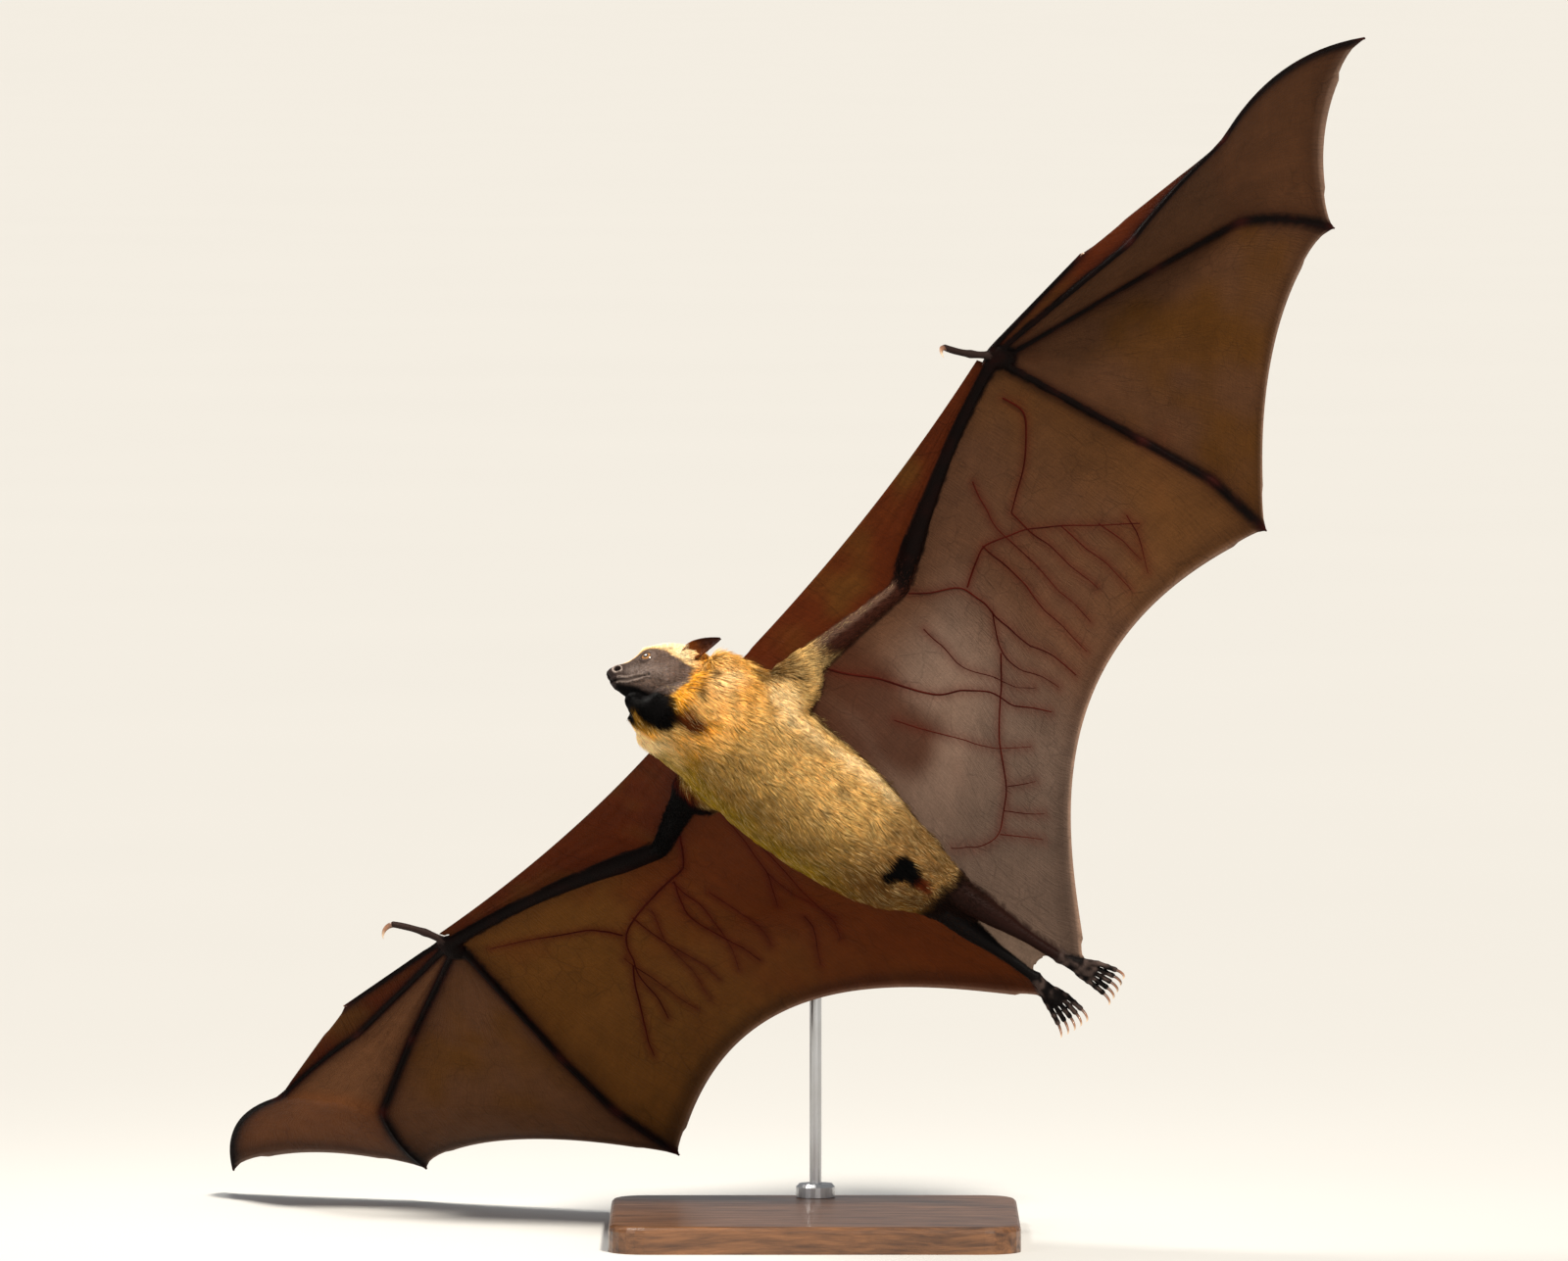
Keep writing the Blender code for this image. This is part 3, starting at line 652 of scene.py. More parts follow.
def thigh_and_shin(side_name):
    hip, knee, ankle, _ = LEG_JOINTS[side_name]
    path = [hip, (hip + knee) / 2, knee, knee * 0.66 + ankle * 0.34, knee * 0.2 + ankle * 0.8, ankle]
    share = np.linspace(0, 1, LEG_STEPS)
    calf = 1.1 * bell(share - 0.52, 0.12)
    return along_path(np.array(path), share), resampled(LEG_RADII, LEG_STEPS) + calf


def make_body():
    """Trunk, neck, upper arms and thighs as one smooth body."""
    shapes = [body_loft()]
    for side_name, wing in WINGS.items():
        arm_radii = resampled(UPPER_ARM_RADII, 25) - ARM_COAT * 0.5
        shapes.append(closed_loft(tube_grid(wing.upper, arm_radii, 24)))
        path, radii = thigh_and_shin(side_name)
        thigh = LEG_STEPS // 2
        shapes.append(closed_loft(tube_grid(path[:thigh], radii[:thigh] - 0.5, 24)))
        muscle = along_path(wing.upper, MUSCLE_SHARE) - SPINE[0] * 6 - SPINE[2] * 3
        axes = frame_from(wing.upper[-1] - wing.upper[0], SPINE[0])
        shapes.append(closed_loft(ball_grid(muscle, axes, MUSCLE_SIZES)))
    for place, radius in SOFT_FILLS:
        shapes.append(closed_loft(ball_grid(on_body(*place), SPINE, (radius,) * 3)))
    body = new_object("body", new_mesh("body", *joined(shapes)))
    remesh = body.modifiers.new("remesh", "REMESH")
    remesh.mode = "VOXEL"
    remesh.voxel_size = BODY_VOXEL
    smooth = body.modifiers.new("smooth", "SMOOTH")
    smooth.factor = 0.5
    smooth.iterations = 12
    mesh = baked(body)
    flesh.note(points_of(mesh), BODY)
    return mesh


# Soft forms of the head: back, left, up, reach, height.
HEAD_FORMS = (
    (21.0, 8.0, 14.5, 4.6, 1.2),
    (23.5, 11.5, 8.0, 8.5, 2.3),
    (31.0, 15.0, -3.0, 8.0, 0.9),
    (12.5, 8.0, 2.0, 4.4, -0.9),
    (15.5, 0.0, 13.5, 5.0, -0.8),
    (4.2, 5.2, 0.2, 3.0, 1.5),
    (0.2, 3.4, -0.6, 2.2, 0.9),
    (6.5, 6.4, -5.2, 3.2, 0.7),
    (16.5, 9.6, -4.0, 3.6, 0.6),
    (9.0, 0.0, -15.0, 5.0, 0.6),
)
LIP_LINE = ((1.2, 0, -6.2), (5.2, 5.8, -8.0), (10.9, 7.5, -8.6), (15.8, 9.5, -7.6), (24.6, 13.3, -6.6))
FACE_FOLDS = (
    ((19.1, 10.6, -5.4), (24.4, 13.4, -2.6)),
    ((20.6, 11.2, -7.8), (25.8, 14.0, -4.6)),
    ((27.5, 14.2, -6.0), (31.0, 15.6, -8.8)),
)
NOSTRIL = (3.8, 7.2, -0.3)
NOSTRIL_WAY = (0.5, -0.86, -0.1)
NOSTRIL_RADIUS = 2.1
NOSTRIL_DEPTH = 3.0
NOSTRIL_RIM = 0.35
HEAD_START, HEAD_LENGTH = -2.4, 68.6
HEAD_ROWS, HEAD_COLUMNS = 124, 160
RELIEF_ROUNDS = 2
# The gap between an eyeball and its pocket in the skull.
EYE_GAP = 0.12


def line_distance(points, line):
    """How far each point is from a line of straight pieces."""
    line = np.asarray(line, float)
    best = np.full(len(points), 1e9)
    for start, end in zip(line, line[1:]):
        way = end - start
        t = np.clip((points - start) @ way / (way @ way), 0, 1)
        best = np.minimum(best, np.linalg.norm(points - start - t[:, None] * way, axis=1))
    return best


def head_relief(place):
    """How far the face stands out at places on the head: its forms, lips and folds."""
    mirrored = np.abs(place) * (0, 1, 0) + place * (1, 0, 1)
    height = np.zeros(len(place))
    for back, left, up, reach, rise in HEAD_FORMS:
        height += rise * bell(np.linalg.norm(mirrored - (back, left, up), axis=1), reach)
    lip = line_distance(mirrored, LIP_LINE)
    height += 0.75 * bell(lip - 1.6, 0.9) - 1.2 * bell(lip, 0.8)
    for fold in FACE_FOLDS:
        away = line_distance(mirrored, fold)
        height += 0.7 * bell(away - 0.9, 0.65) - 0.5 * bell(away, 0.5)
    groove = bell(place[:, 1], 1.2) * smoothstep(6.5, 2.0, place[:, 0]) * smoothstep(-6.5, -4.5, place[:, 2])
    return height - 1.9 * groove


def head_grid():
    """Places on the bare head without its relief, in rings from the nose back."""
    share = np.linspace(0, 1, HEAD_ROWS)
    at = HEAD_START + HEAD_LENGTH * (0.35 * share + 0.65 * share**1.7)
    top, bottom, half_width = softened(HEAD_STATIONS, at, 2.0).T
    angle = turns(HEAD_COLUMNS)
    back = np.broadcast_to(at[:, None], (len(at), len(angle)))
    high, low = np.maximum(np.sin(angle), 0), np.maximum(-np.sin(angle), 0)
    coat = 0.4 + smoothstep(22, 46, back) * (0.7 + 0.5 * high) + 0.4 * smoothstep(10, 34, back) * low
    half_height = (top - bottom)[:, None] / 2 - coat
    jaw = 1 - 0.2 * smoothstep(0.1, 0.95, low) * smoothstep(60, 40, back)
    left = (half_width[:, None] - coat * 0.8).clip(0.3) * np.cos(angle) * jaw
    up = (top + bottom)[:, None] / 2 + half_height.clip(0.3) * np.sin(angle)
    return np.stack([back, left, up], -1)


def with_relief(place, back):
    """The head's grid pushed out along its normals, and not at the tip of the nose."""
    normals = units(np.cross(np.gradient(place, axis=0), np.roll(place, -1, 1) - np.roll(place, 1, 1)))
    outside = np.sign((normals * (place - place.mean(1, keepdims=True))).sum(-1).mean())
    relief = head_relief(place.reshape(-1, 3)).reshape(place.shape[:2])
    relief = relief * smoothstep(-2.3, -1.2, back) / RELIEF_ROUNDS
    return place + normals * outside * relief[..., None]


def with_nostrils(place):
    """The head's grid with two pits that have raised rims."""
    for side in SIDES.values():
        way = unit(np.array(NOSTRIL_WAY) * (1, side, 1))
        away = np.linalg.norm(place - np.array(NOSTRIL) * (1, side, 1), axis=-1)
        pit = NOSTRIL_DEPTH * smoothstep(NOSTRIL_RADIUS * 1.2, NOSTRIL_RADIUS * 0.6, away)
        place = place + way * pit[..., None]
        place = place - way * (NOSTRIL_RIM * bell(away - NOSTRIL_RADIUS * 1.5, 0.6))[..., None]
    return place


def make_head():
    place = head_grid()
    back = place[..., 0]
    for _ in range(RELIEF_ROUNDS):
        place = with_relief(place, back)
    place = with_nostrils(place) * (-1, 1, 1)
    mesh = flesh.add(closed_loft(on_body(*NOSE) + place @ HEAD), HEAD_SKIN)
    pockets = []
    for side_name in SIDES:
        pocket = ball_grid(eye_centre(side_name), HEAD, (EYE_RADIUS + EYE_GAP,) * 3, 24, 32)
        pockets.append(new_mesh("pocket", *closed_loft(pocket)))
    return boolean(mesh, pockets, "DIFFERENCE")


def eye_centre(side_name):
    back, left, up = EYE_CENTRE
    return on_head(back, left * SIDES[side_name], up)


EYE_CENTRES = [eye_centre(name) for name in SIDES]


def eye_axes(side_name):
    """The way the eye looks, the way along its slit, and up."""
    look = unit(np.dot((0.42, 0.88 * SIDES[side_name], 0.2), HEAD))
    along = unit(HEAD[0] - look * np.dot(HEAD[0], look))
    return np.array((look, along, unit(np.cross(look, along)) * SIDES[side_name]))


# The lids' opening, along the slit and across it, and the hidden edge of their ring.
LID_OPENING = (radians(39), radians(33))
LID_EDGE = radians(86)
# The lids' section: share of the way from the opening to the edge, and height over the eyeball.
LID_SECTION = (
    (1, 0.12),
    (0.5, 0.1),
    (0.16, 0.1),
    (0.03, 0.2),
    (0, 0.5),
    (0.03, 0.78),
    (0.12, 0.92),
    (0.24, 0.78),
    (0.32, 0.72),
    (0.42, 0.98),
    (0.55, 0.95),
    (0.75, 0.7),
    (1, 0.35),
)


def make_lids(side_name):
    """A ring of skin over the eyeball that leaves an almond-shaped opening."""
    look, along, up = eye_axes(side_name)
    angle = turns(64)
    wide, high = LID_OPENING
    opening = 1 / np.sqrt((np.cos(angle) / wide) ** 2 + (np.sin(angle) / high) ** 2)
    opening = opening * (1 + 0.10 * np.abs(np.cos(angle)) ** 6)
    spoke = np.outer(np.cos(angle), along) + np.outer(np.sin(angle), up)
    rings = []
    for share, height in LID_SECTION:
        polar = (opening + (LID_EDGE - opening) * share)[:, None]
        way = np.cos(polar) * look + np.sin(polar) * spoke
        rings.append(eye_centre(side_name) + (EYE_RADIUS + height) * way)
    return flesh.add(closed_ring(np.array(rings)), LID)


EAR_ROWS, EAR_COLUMNS = 40, 31
EAR_RIDGE = 0.22


def ear_axis(side_name):
    ahead, aside, rise = EAR_DIRECTIONS[side_name]
    return unit(np.dot((ahead, aside * SIDES[side_name], rise), HEAD))


def make_ear(side_name):
    """A pointed leaf, curled round its length and ridged inside."""
    side = SIDES[side_name]
    back, left, up = EAR_ROOT
    root = on_head(back, left * side, up)
    axis = ear_axis(side_name)
    outer = unit(np.cross(axis, np.cross(HEAD[1] * side + HEAD[0] * 0.5, axis)))
    across = np.cross(axis, outer)
    share = np.linspace(-0.12, 1, EAR_ROWS)
    curl = np.linspace(-EAR_CURL, EAR_CURL, EAR_COLUMNS)
    grid = []
    for t in share:
        low = min(1, max(t, 0) / 0.45)
        half = (EAR_WIDTH * (0.75 + 0.25 * sin(pi * low / 2)) * (1 - max(t, 0) ** 2.2) + 1.0) / 2
        ridges = EAR_RIDGE * np.sin(t * 34) * bell(curl, 0.7)
        ridges = ridges * smoothstep(0.05, 0.3, t) * smoothstep(0.95, 0.7, t)
        middle = root + axis * EAR_LENGTH * t
        aside = np.outer(half * np.sin(curl) / sin(EAR_CURL), across)
        grid.append(middle + aside + np.outer(half * (1 - np.cos(curl)) + ridges, outer))
    edge = 0.35 * bell(np.abs(curl) - EAR_CURL, 0.12)
    thickness = 0.75 + edge[None, :] + 0.8 * smoothstep(0.25, 0, share)[:, None]
    along = np.tile(np.repeat(share, EAR_COLUMNS), 2)
    return flesh.add(closed_sheet(np.array(grid), thickness), EAR, side=side, along=along)


# ---------------------------------------------------------------- wings of flesh


FOREARM_SIDES = 20
TENDONS = 3


def make_forearm(wing):
    count = len(wing.fore)
    share = np.linspace(0, 1, count)
    radii = resampled(FOREARM_RADII, count) * (1 + 0.06 * bell(share - 0.16, 0.08))
    grid = tube_grid(wing.fore, radii, FOREARM_SIDES)
    centre = grid.mean(1, keepdims=True)
    tendon = 1 + 0.05 * np.cos(TENDONS * turns(FOREARM_SIDES))[None, :, None]
    return flesh.add(closed_loft(centre + (grid - centre) * tendon), ARM, side=wing.side)


def make_wrist(wing):
    centre = wing.wrist + wing.along * WRIST_PLACE[0] + wing.trailing * WRIST_PLACE[1]
    long, wide, deep = WRIST_SIZE
    grid = ball_grid(centre, (wing.trailing, wing.along, wing.normal), (wide, long, deep), 18, 24)
    lumps = noise(grid.reshape(-1, 3), 4.5, 3).reshape(grid.shape[:2])
    grid = grid + (grid - centre) * 0.06 * lumps[..., None]
    return flesh.add(closed_loft(grid), ARM, side=wing.side)


def make_finger(wing, name):
    path = wing.fingers[name]
    first, last = FINGER_RADII[name]
    share = np.linspace(0, 1, len(path))
    lengths = lengths_along(path)
    radii = first + (last - first) * share
    for joint in range(0, len(path) - 1, FINGER_STEPS):
        knuckle = 0.42 if joint else 0.3
        radii = radii * (1 + knuckle * bell(lengths - lengths[joint], 3.4))
    fine = np.linspace(0, 1, int(lengths[-1] / 2.8))
    radii = np.interp(fine * lengths[-1], lengths, radii)
    grid = tube_grid(along_path(path, fine), radii, 10)
    return flesh.add(closed_loft(grid), ARM, side=wing.side)


def make_thumb(wing):
    share = np.linspace(0, 1, len(wing.thumb))
    joint = 1 + 0.22 * bell(share - 0.45, 0.07) - 0.06 * bell(share - 0.7, 0.1)
    radii = resampled(THUMB_RADII, len(share)) * joint
    grid = tube_grid(wing.thumb, radii * 0.94, 16)
    return flesh.add(closed_loft(grid), THUMB_SKIN, side=wing.side)


def crinkled(grid, height, reach, seed):
    """A sheet's grid with low folds that run along its columns, and a fine unevenness."""
    rows, columns = grid.shape[:2]
    v, u = grid_shares(rows, columns)
    size = np.linalg.norm(grid[-1, -1] - grid[0, 0])
    places = np.stack([u * size / reach, v * size / reach / 5, u * 0 + seed], -1)
    folds = noise(places.reshape(-1, 3), 1, seed)
    fine = noise(grid.reshape(-1, 3), 9, seed + 1)
    lift = height * folds + 0.18 * fine
    edge = np.minimum(1, 32 * u * (1 - u) * v * (1 - v))
    return grid + grid_normals(grid) * (lift.reshape(rows, columns) * edge)[..., None]


# The middle surface of each membrane, by its side and kind.
SHEETS = {}


def add_sheet(grid, kind, wing_side, thin=0.55, thick=0.75):
    """One membrane: thicker by the body and bones than at its trailing edge."""
    v, u = grid_shares(*grid.shape[:2])
    thickness = thick + (thin - thick) * v
    SHEETS[(wing_side, kind)] = grid
    facts = dict(kind=kind, side=wing_side, across=np.tile(u.ravel(), 2), along=np.tile(v.ravel(), 2))
    return flesh.add(closed_sheet(grid, thickness), MEMBRANE, **facts)


def on_sheet(grid, across, along):
    """Points on a sheet's grid at shares of its columns and rows."""
    rows, columns = grid.shape[:2]
    r, c = np.clip(along, 0, 1) * (rows - 1), np.clip(across, 0, 1) * (columns - 1)
    r0, c0 = np.minimum(r.astype(int), rows - 2), np.minimum(c.astype(int), columns - 2)
    fr, fc = (r - r0)[..., None], (c - c0)[..., None]
    low = grid[r0, c0] * (1 - fc) + grid[r0, c0 + 1] * fc
    high = grid[r0 + 1, c0] * (1 - fc) + grid[r0 + 1, c0 + 1] * fc
    return low * (1 - fr) + high * fr


def inward_of(start, end, middle):
    """At right angles to the line from start to end, towards a point inside the wing."""
    line = unit(end - start)
    to_middle = middle - start
    return unit(to_middle - line * np.dot(to_middle, line))


def scallop(name, t):
    depth, skew = SCALLOPS[name]
    return depth * 4 * t**skew * (1 - t**skew)


def make_finger_sheet(wing, kind, label, first, second, columns):
    a, b = wing.fingers[first], wing.fingers[second]
    inward = inward_of(a[-1], b[-1], (a[0] + b[0]) / 2)
    reach = (np.arange(len(a)) / (len(a) - 1)) ** 3
    s = np.linspace(0, 1, columns)
    grid = a[:, None] + (b - a)[:, None] * s[None, :, None]
    grid = grid + inward * scallop(label, s)[None, :, None] * reach[:, None, None]
    return add_sheet(crinkled(grid, 0.5, 9, 11 + kind), kind, wing.side)


def make_index_sheet(wing):
    index = wing.fingers["index"]
    third = wing.fingers["third"][: 2 * len(index) - 1]
    shares = np.linspace(0, 1, len(index))[1:, None]
    edge = np.concatenate([index, index[-1] + (third[-1] - index[-1]) * shares])
    s = np.linspace(0, 1, 9)[None, :, None]
    grid = edge[:-1, None] + (third[:-1] - edge[:-1])[:, None] * s
    return add_sheet(grid, INDEX_SHEET, wing.side, thick=0.65)


def make_shoulder_sheet(wing):
    forward, left, up = SHOULDER_EDGE_ROOT
    root = on_body(forward, left + wing.side * SHOULDER_EDGE_ASIDE, up)
    end = wing.thumb[5]
    inward = inward_of(root, end, wing.elbow)
    t = np.linspace(0, 0.985, 64)[:, None]
    edge = root + (end - root) * t + inward * SHOULDER_EDGE_HOLLOW * 4 * t * (1 - t)
    inner = along_path(wing.arm, t[:, 0])
    s = np.linspace(0, 1, 26)[None, :, None]
    grid = edge[:, None] + (inner - edge)[:, None] * s
    return add_sheet(crinkled(grid, 0.4, 9, 5), SHOULDER_SHEET, wing.side)


def side_line(wing):
    """Where the wing joins the flank, inside the trunk's surface."""
    flank = [s for s in BODY_STATIONS if -140 < s[0] < 0]
    for forward, half_width, _, aside, _ in reversed(flank):
        yield on_body(forward, aside + wing.side * half_width * FLANK_SHARE, FLANK_HEIGHT)


def make_side_sheet(wing):
    leg = LEG_JOINTS[wing.name]
    fifth = wing.fingers["fifth"]
    arm = np.concatenate([wing.arm, fifth[:1]])
    corner = leg[3] * 0.75 + leg[2] * 0.25 + SPINE[1] * wing.side * 4
    body = np.array([wing.shoulder, *side_line(wing), leg[1], leg[2], corner])
    tip = fifth[-1]
    inward = inward_of(corner, tip, wing.elbow)
    v, u = grid_shares(66, 86)
    low_edge = corner + (tip - corner) * u[..., None] + inward * scallop("side", u)[..., None]
    top, near, far = along_path(arm, u), along_path(body, v), along_path(fifth, v)
    u3, v3 = u[..., None], v[..., None]
    corners = (1 - u3) * ((1 - v3) * arm[0] + v3 * corner) + u3 * ((1 - v3) * arm[-1] + v3 * tip)
    patch = (1 - v3) * top + v3 * low_edge + (1 - u3) * near + u3 * far - corners
    patch = patch + SPINE[2] * BILLOW * 16 * u3 * (1 - u3) * v3 * (1 - v3)
    return add_sheet(crinkled(patch, 0.8, 13, 23), SIDE_SHEET, wing.side)


def make_wing_flesh(wing):
    solid = [make_wrist(wing), make_thumb(wing)]
    solid += [make_finger(wing, name) for name in FINGERS]
    sheets = [
        make_shoulder_sheet(wing),
        make_index_sheet(wing),
        make_finger_sheet(wing, TIP_SHEET, "tip", "third", "fourth", 24),
        make_finger_sheet(wing, MIDDLE_SHEET, "middle", "fourth", "fifth", 36),
        make_side_sheet(wing),
    ]
    return boolean(make_forearm(wing), solid + sheets)


# ---------------------------------------------------------------- legs of flesh, and claws

# A toe's joints: share of its length, how much they swell it, and their reach.
TOE_JOINTS = ((0.42, 0.22, 0.06), (0.72, 0.2, 0.05), (0.96, 0.14, 0.05))
TOE_STEPS = 22
INDEX_CLAW_LENGTH = 4.5
INDEX_CLAW_RADIUS = 1.0

# Each claw's closed shape, and the share along it of each of its points.
claw_shapes = []


def claw(root, ahead, down, length, radius, turn=115):
    """A curved claw that narrows to a point, oval in section."""
    t = np.linspace(0, 1, 16)
    bend = length / radians(turn)
    angle = radians(turn) * t
    path = root + np.outer(bend * np.sin(angle), ahead) + np.outer(bend * (1 - np.cos(angle)), down)
    radii = radius * (1 - 0.93 * t**2)
    grid = tube_grid(path, radii, 12, 1.0, np.cross(ahead, down), ends=False)
    centre = grid.mean(1, keepdims=True)
    side = unit(np.cross(ahead, down))
    grid = grid - ((grid - centre) @ side)[..., None] * side * 0.3
    claw_shapes.append((closed_loft(grid), np.concatenate([np.repeat(t, 12), [0, 1]])))


def make_leg_flesh(side_name):
    _, _, ankle, sole_end = LEG_JOINTS[side_name]
    side = SIDES[side_name]
    path, radii = thigh_and_shin(side_name)
    shin = LEG_STEPS // 4
    first = flesh.add(closed_loft(tube_grid(path[shin:], radii[shin:], 22)), LEG, side=side)
    ahead = unit(sole_end - ankle)
    down = -unit(SPINE[2] - ahead * np.dot(SPINE[2], ahead))
    across = np.cross(ahead, down)
    sole = np.array([ankle - ahead, ankle + ahead * 8, sole_end - ahead * 3, sole_end + ahead * 2])
    grid = tube_grid(along_path(sole, np.linspace(0, 1, 18)), resampled(FOOT_RADII, 18), 22, 0.6, down)
    parts = [flesh.add(closed_loft(grid), LEG, side=side)]
    ankle_ball = ball_grid(ankle, np.array((ahead, across, down)), (4.6, 4.4, 4.2))
    parts.append(flesh.add(closed_loft(ankle_ball), LEG, side=side))
    share = np.linspace(0, 1, TOE_STEPS)
    radii = 2.05 - 0.5 * share
    joints = sum(height * bell(share - place, reach) for place, height, reach in TOE_JOINTS)
    for fan in TOE_FAN:
        out = ahead * cos(radians(fan)) + across * sin(radians(fan))
        root = sole_end - ahead * 6 + across * SOLE_HALF_WIDTH * fan / TOE_FAN[-1]
        tip = root + out * (TOE_LENGTH + 3) + down * 1.5
        middle = (root + tip) / 2 - down * 1.4
        toe = along_path(np.array([root, middle, tip]), share)
        parts.append(flesh.add(closed_loft(tube_grid(toe, radii * (1 + joints), 12)), LEG, side=side))
        claw(tip - out * 1.2, out, down, CLAW_LENGTH, CLAW_RADIUS * 0.92)
    return boolean(first, parts)


def make_tail_sheet():
    left, right = LEG_JOINTS["left"], LEG_JOINTS["right"]
    v, s = grid_shares(34, 22)
    a, b = along_path(left[:3], v), along_path(right[:3], v)
    hollow = SPINE[0] * (TAIL_WEB_HOLLOW * v**3 * 4 * s * (1 - s))[..., None]
    grid = a + (b - a) * s[..., None] + hollow
    return add_sheet(crinkled(grid, 0.5, 6, 31), TAIL_SHEET, 0)


def make_wing_claws(wing):
    """The big claw of the thumb and the small one of the index finger."""
    ahead = unit(wing.thumb[-1] - wing.thumb[-2])
    down = unit(ahead * np.dot(SPINE[0], ahead) - SPINE[0])
    claw(wing.thumb[-1] - ahead * 2, ahead, down, THUMB_CLAW_LENGTH, THUMB_CLAW_RADIUS)
    finger = wing.fingers["index"]
    ahead = unit(finger[-1] - finger[-3])
    down = -wing.normal * wing.side
    claw(finger[-1] - ahead, ahead, down, INDEX_CLAW_LENGTH, INDEX_CLAW_RADIUS, 70)


def without_crumbs(mesh):
    """The mesh without the few small pieces that its joining left loose."""
    edges = edges_of(mesh)
    label = np.arange(len(mesh.vertices))
    while True:
        low = label[edges].min(1)
        before = label.copy()
        for end in (0, 1):
            np.minimum.at(label, before[edges[:, end]], low)
            np.minimum.at(label, edges[:, end], low)
        label = label[label]
        if (label == before).all():
            break
    main = np.bincount(label).argmax()
    shape = bmesh.new()
    shape.from_mesh(mesh)
    loose = [vertex for vertex, mark in zip(shape.verts, label) if mark != main]
    bmesh.ops.delete(shape, geom=loose, context="VERTS")
    shape.to_mesh(mesh)
    shape.free()
    return mesh


# How many edges away the creases between pieces are softened, what is left of that at each edge,
# and how many times it is done. Nothing this near to an eyeball is softened.
CREASE_REACH = 3
CREASE_FADE = 0.97
CREASE_ROUNDS = 5
EYE_MARGIN = 2.5


def make_skin_mesh():
    """All the flesh united, with its creases softened."""
    parts = [make_head(), make_tail_sheet()]
    parts += [make_lids(name) for name in SIDES]
    parts += [make_ear(name) for name in SIDES]
    parts += [make_leg_flesh(name) for name in SIDES]
    parts += [make_wing_flesh(wing) for wing in WINGS.values()]
    for wing in WINGS.values():
        make_wing_claws(wing)
    mesh = without_crumbs(boolean(make_body(), parts))
    points = points_of(mesh)
    source, _ = nearest(np.concatenate(flesh.points), points)
    facts = np.concatenate(flesh.facts)[source]
    edges = edges_of(mesh)
    piece = facts[:, PIECE]
    crease = np.zeros(len(points))
    crossing = piece[edges[:, 0]] != piece[edges[:, 1]]
    crease[edges[crossing].ravel()] = 1
    for _ in range(CREASE_REACH):
        grown = crease[edges].max(1)
        np.maximum.at(crease, edges.ravel(), np.repeat(grown, 2) * CREASE_FADE)
    crease[facts[:, REGION] == LID] = 0
    crease[distance_to(EYE_CENTRES, points) < EYE_RADIUS + EYE_MARGIN] = 0
    move_points(mesh, averaged(points, edges, crease, CREASE_ROUNDS))
    return mesh, facts, edges


# ---------------------------------------------------------------- veins

# Veins of the side membranes: width, then shares across and along the sheet.
VEINS = {
    1: (
        (1.1, (0.4, 0.05), (0.5, 0.3), (0.5, 0.5), (0.55, 0.9)),
        (1.2, (0.15, 0.05), (0.25, 0.35), (0.35, 0.5), (0.45, 0.85)),
        (0.8, (0.7, 0.15), (0.65, 0.3), (0.65, 0.85)),
        (0.8, (0.7, 0.35), (0.7, 0.8)),
        (0.8, (0.6, 0.3), (0.6, 0.9)),
        (0.8, (0.5, 0.45), (0.45, 0.55), (0.5, 0.85)),
        (0.7, (0.35, 0.2), (0.35, 0.4), (0.45, 0.75)),
        (0.7, (0.15, 0.3), (0.25, 0.55), (0.35, 0.8)),
        (0.9, (0.45, 0.55), (0.25, 0.75), (0.15, 0.75), (0.05, 0.6)),
        (0.6, (0.25, 0.75), (0.3, 0.85)),
        (0.6, (0.2, 0.75), (0.25, 0.9)),
        (0.6, (0.15, 0.75), (0.2, 0.9)),
        (1.1, (0.5, 0.3), (0.6, 0.3), (0.7, 0.45), (0.85, 0.75)),
        (0.7, (0.75, 0.55), (0.75, 0.9)),
        (0.7, (0.8, 0.65), (0.8, 0.85)),
        (0.7, (0.85, 0.7), (0.8, 0.9)),
        (1.3, (0.9, 0.1), (0.9, 0.2), (0.8, 0.3), (0.7, 0.35)),
    ),
    -1: (
        (1.3, (0.3, 0.05), (0.35, 0.1), (0.65, 0.35), (0.7, 0.5), (0.75, 0.75)),
        (1.1, (0.45, 0.2), (0.5, 0.4), (0.5, 0.75)),
        (0.8, (0.1, 0.1), (0.2, 0.35), (0.3, 0.5)),
        (0.8, (0.1, 0.2), (0.15, 0.35), (0.3, 0.75)),
        (0.7, (0.6, 0.3), (0.6, 0.75)),
        (1.2, (0.7, 0.5), (0.8, 0.7), (0.85, 0.8)),
        (1.2, (0.65, 0.35), (0.7, 0.25), (0.9, 0.1)),
        (0.9, (0.45, 0.2), (0.45, 0.4), (0.55, 0.75)),
        (0.7, (0.7, 0.45), (0.7, 0.8)),
        (0.7, (0.3, 0.6), (0.4, 0.85)),
        (0.6, (0.4, 0.3), (0.4, 0.5), (0.45, 0.7)),
        (0.6, (0.2, 0.35), (0.25, 0.65)),
        (0.6, (0.55, 0.3), (0.6, 0.5), (0.65, 0.8)),
    ),
}
VEIN_STEP = 3.0
# How far a vein strays from its line, as a share of the sheet, and the size of its bends.
VEIN_WANDER, VEIN_BEND = 0.008, 11


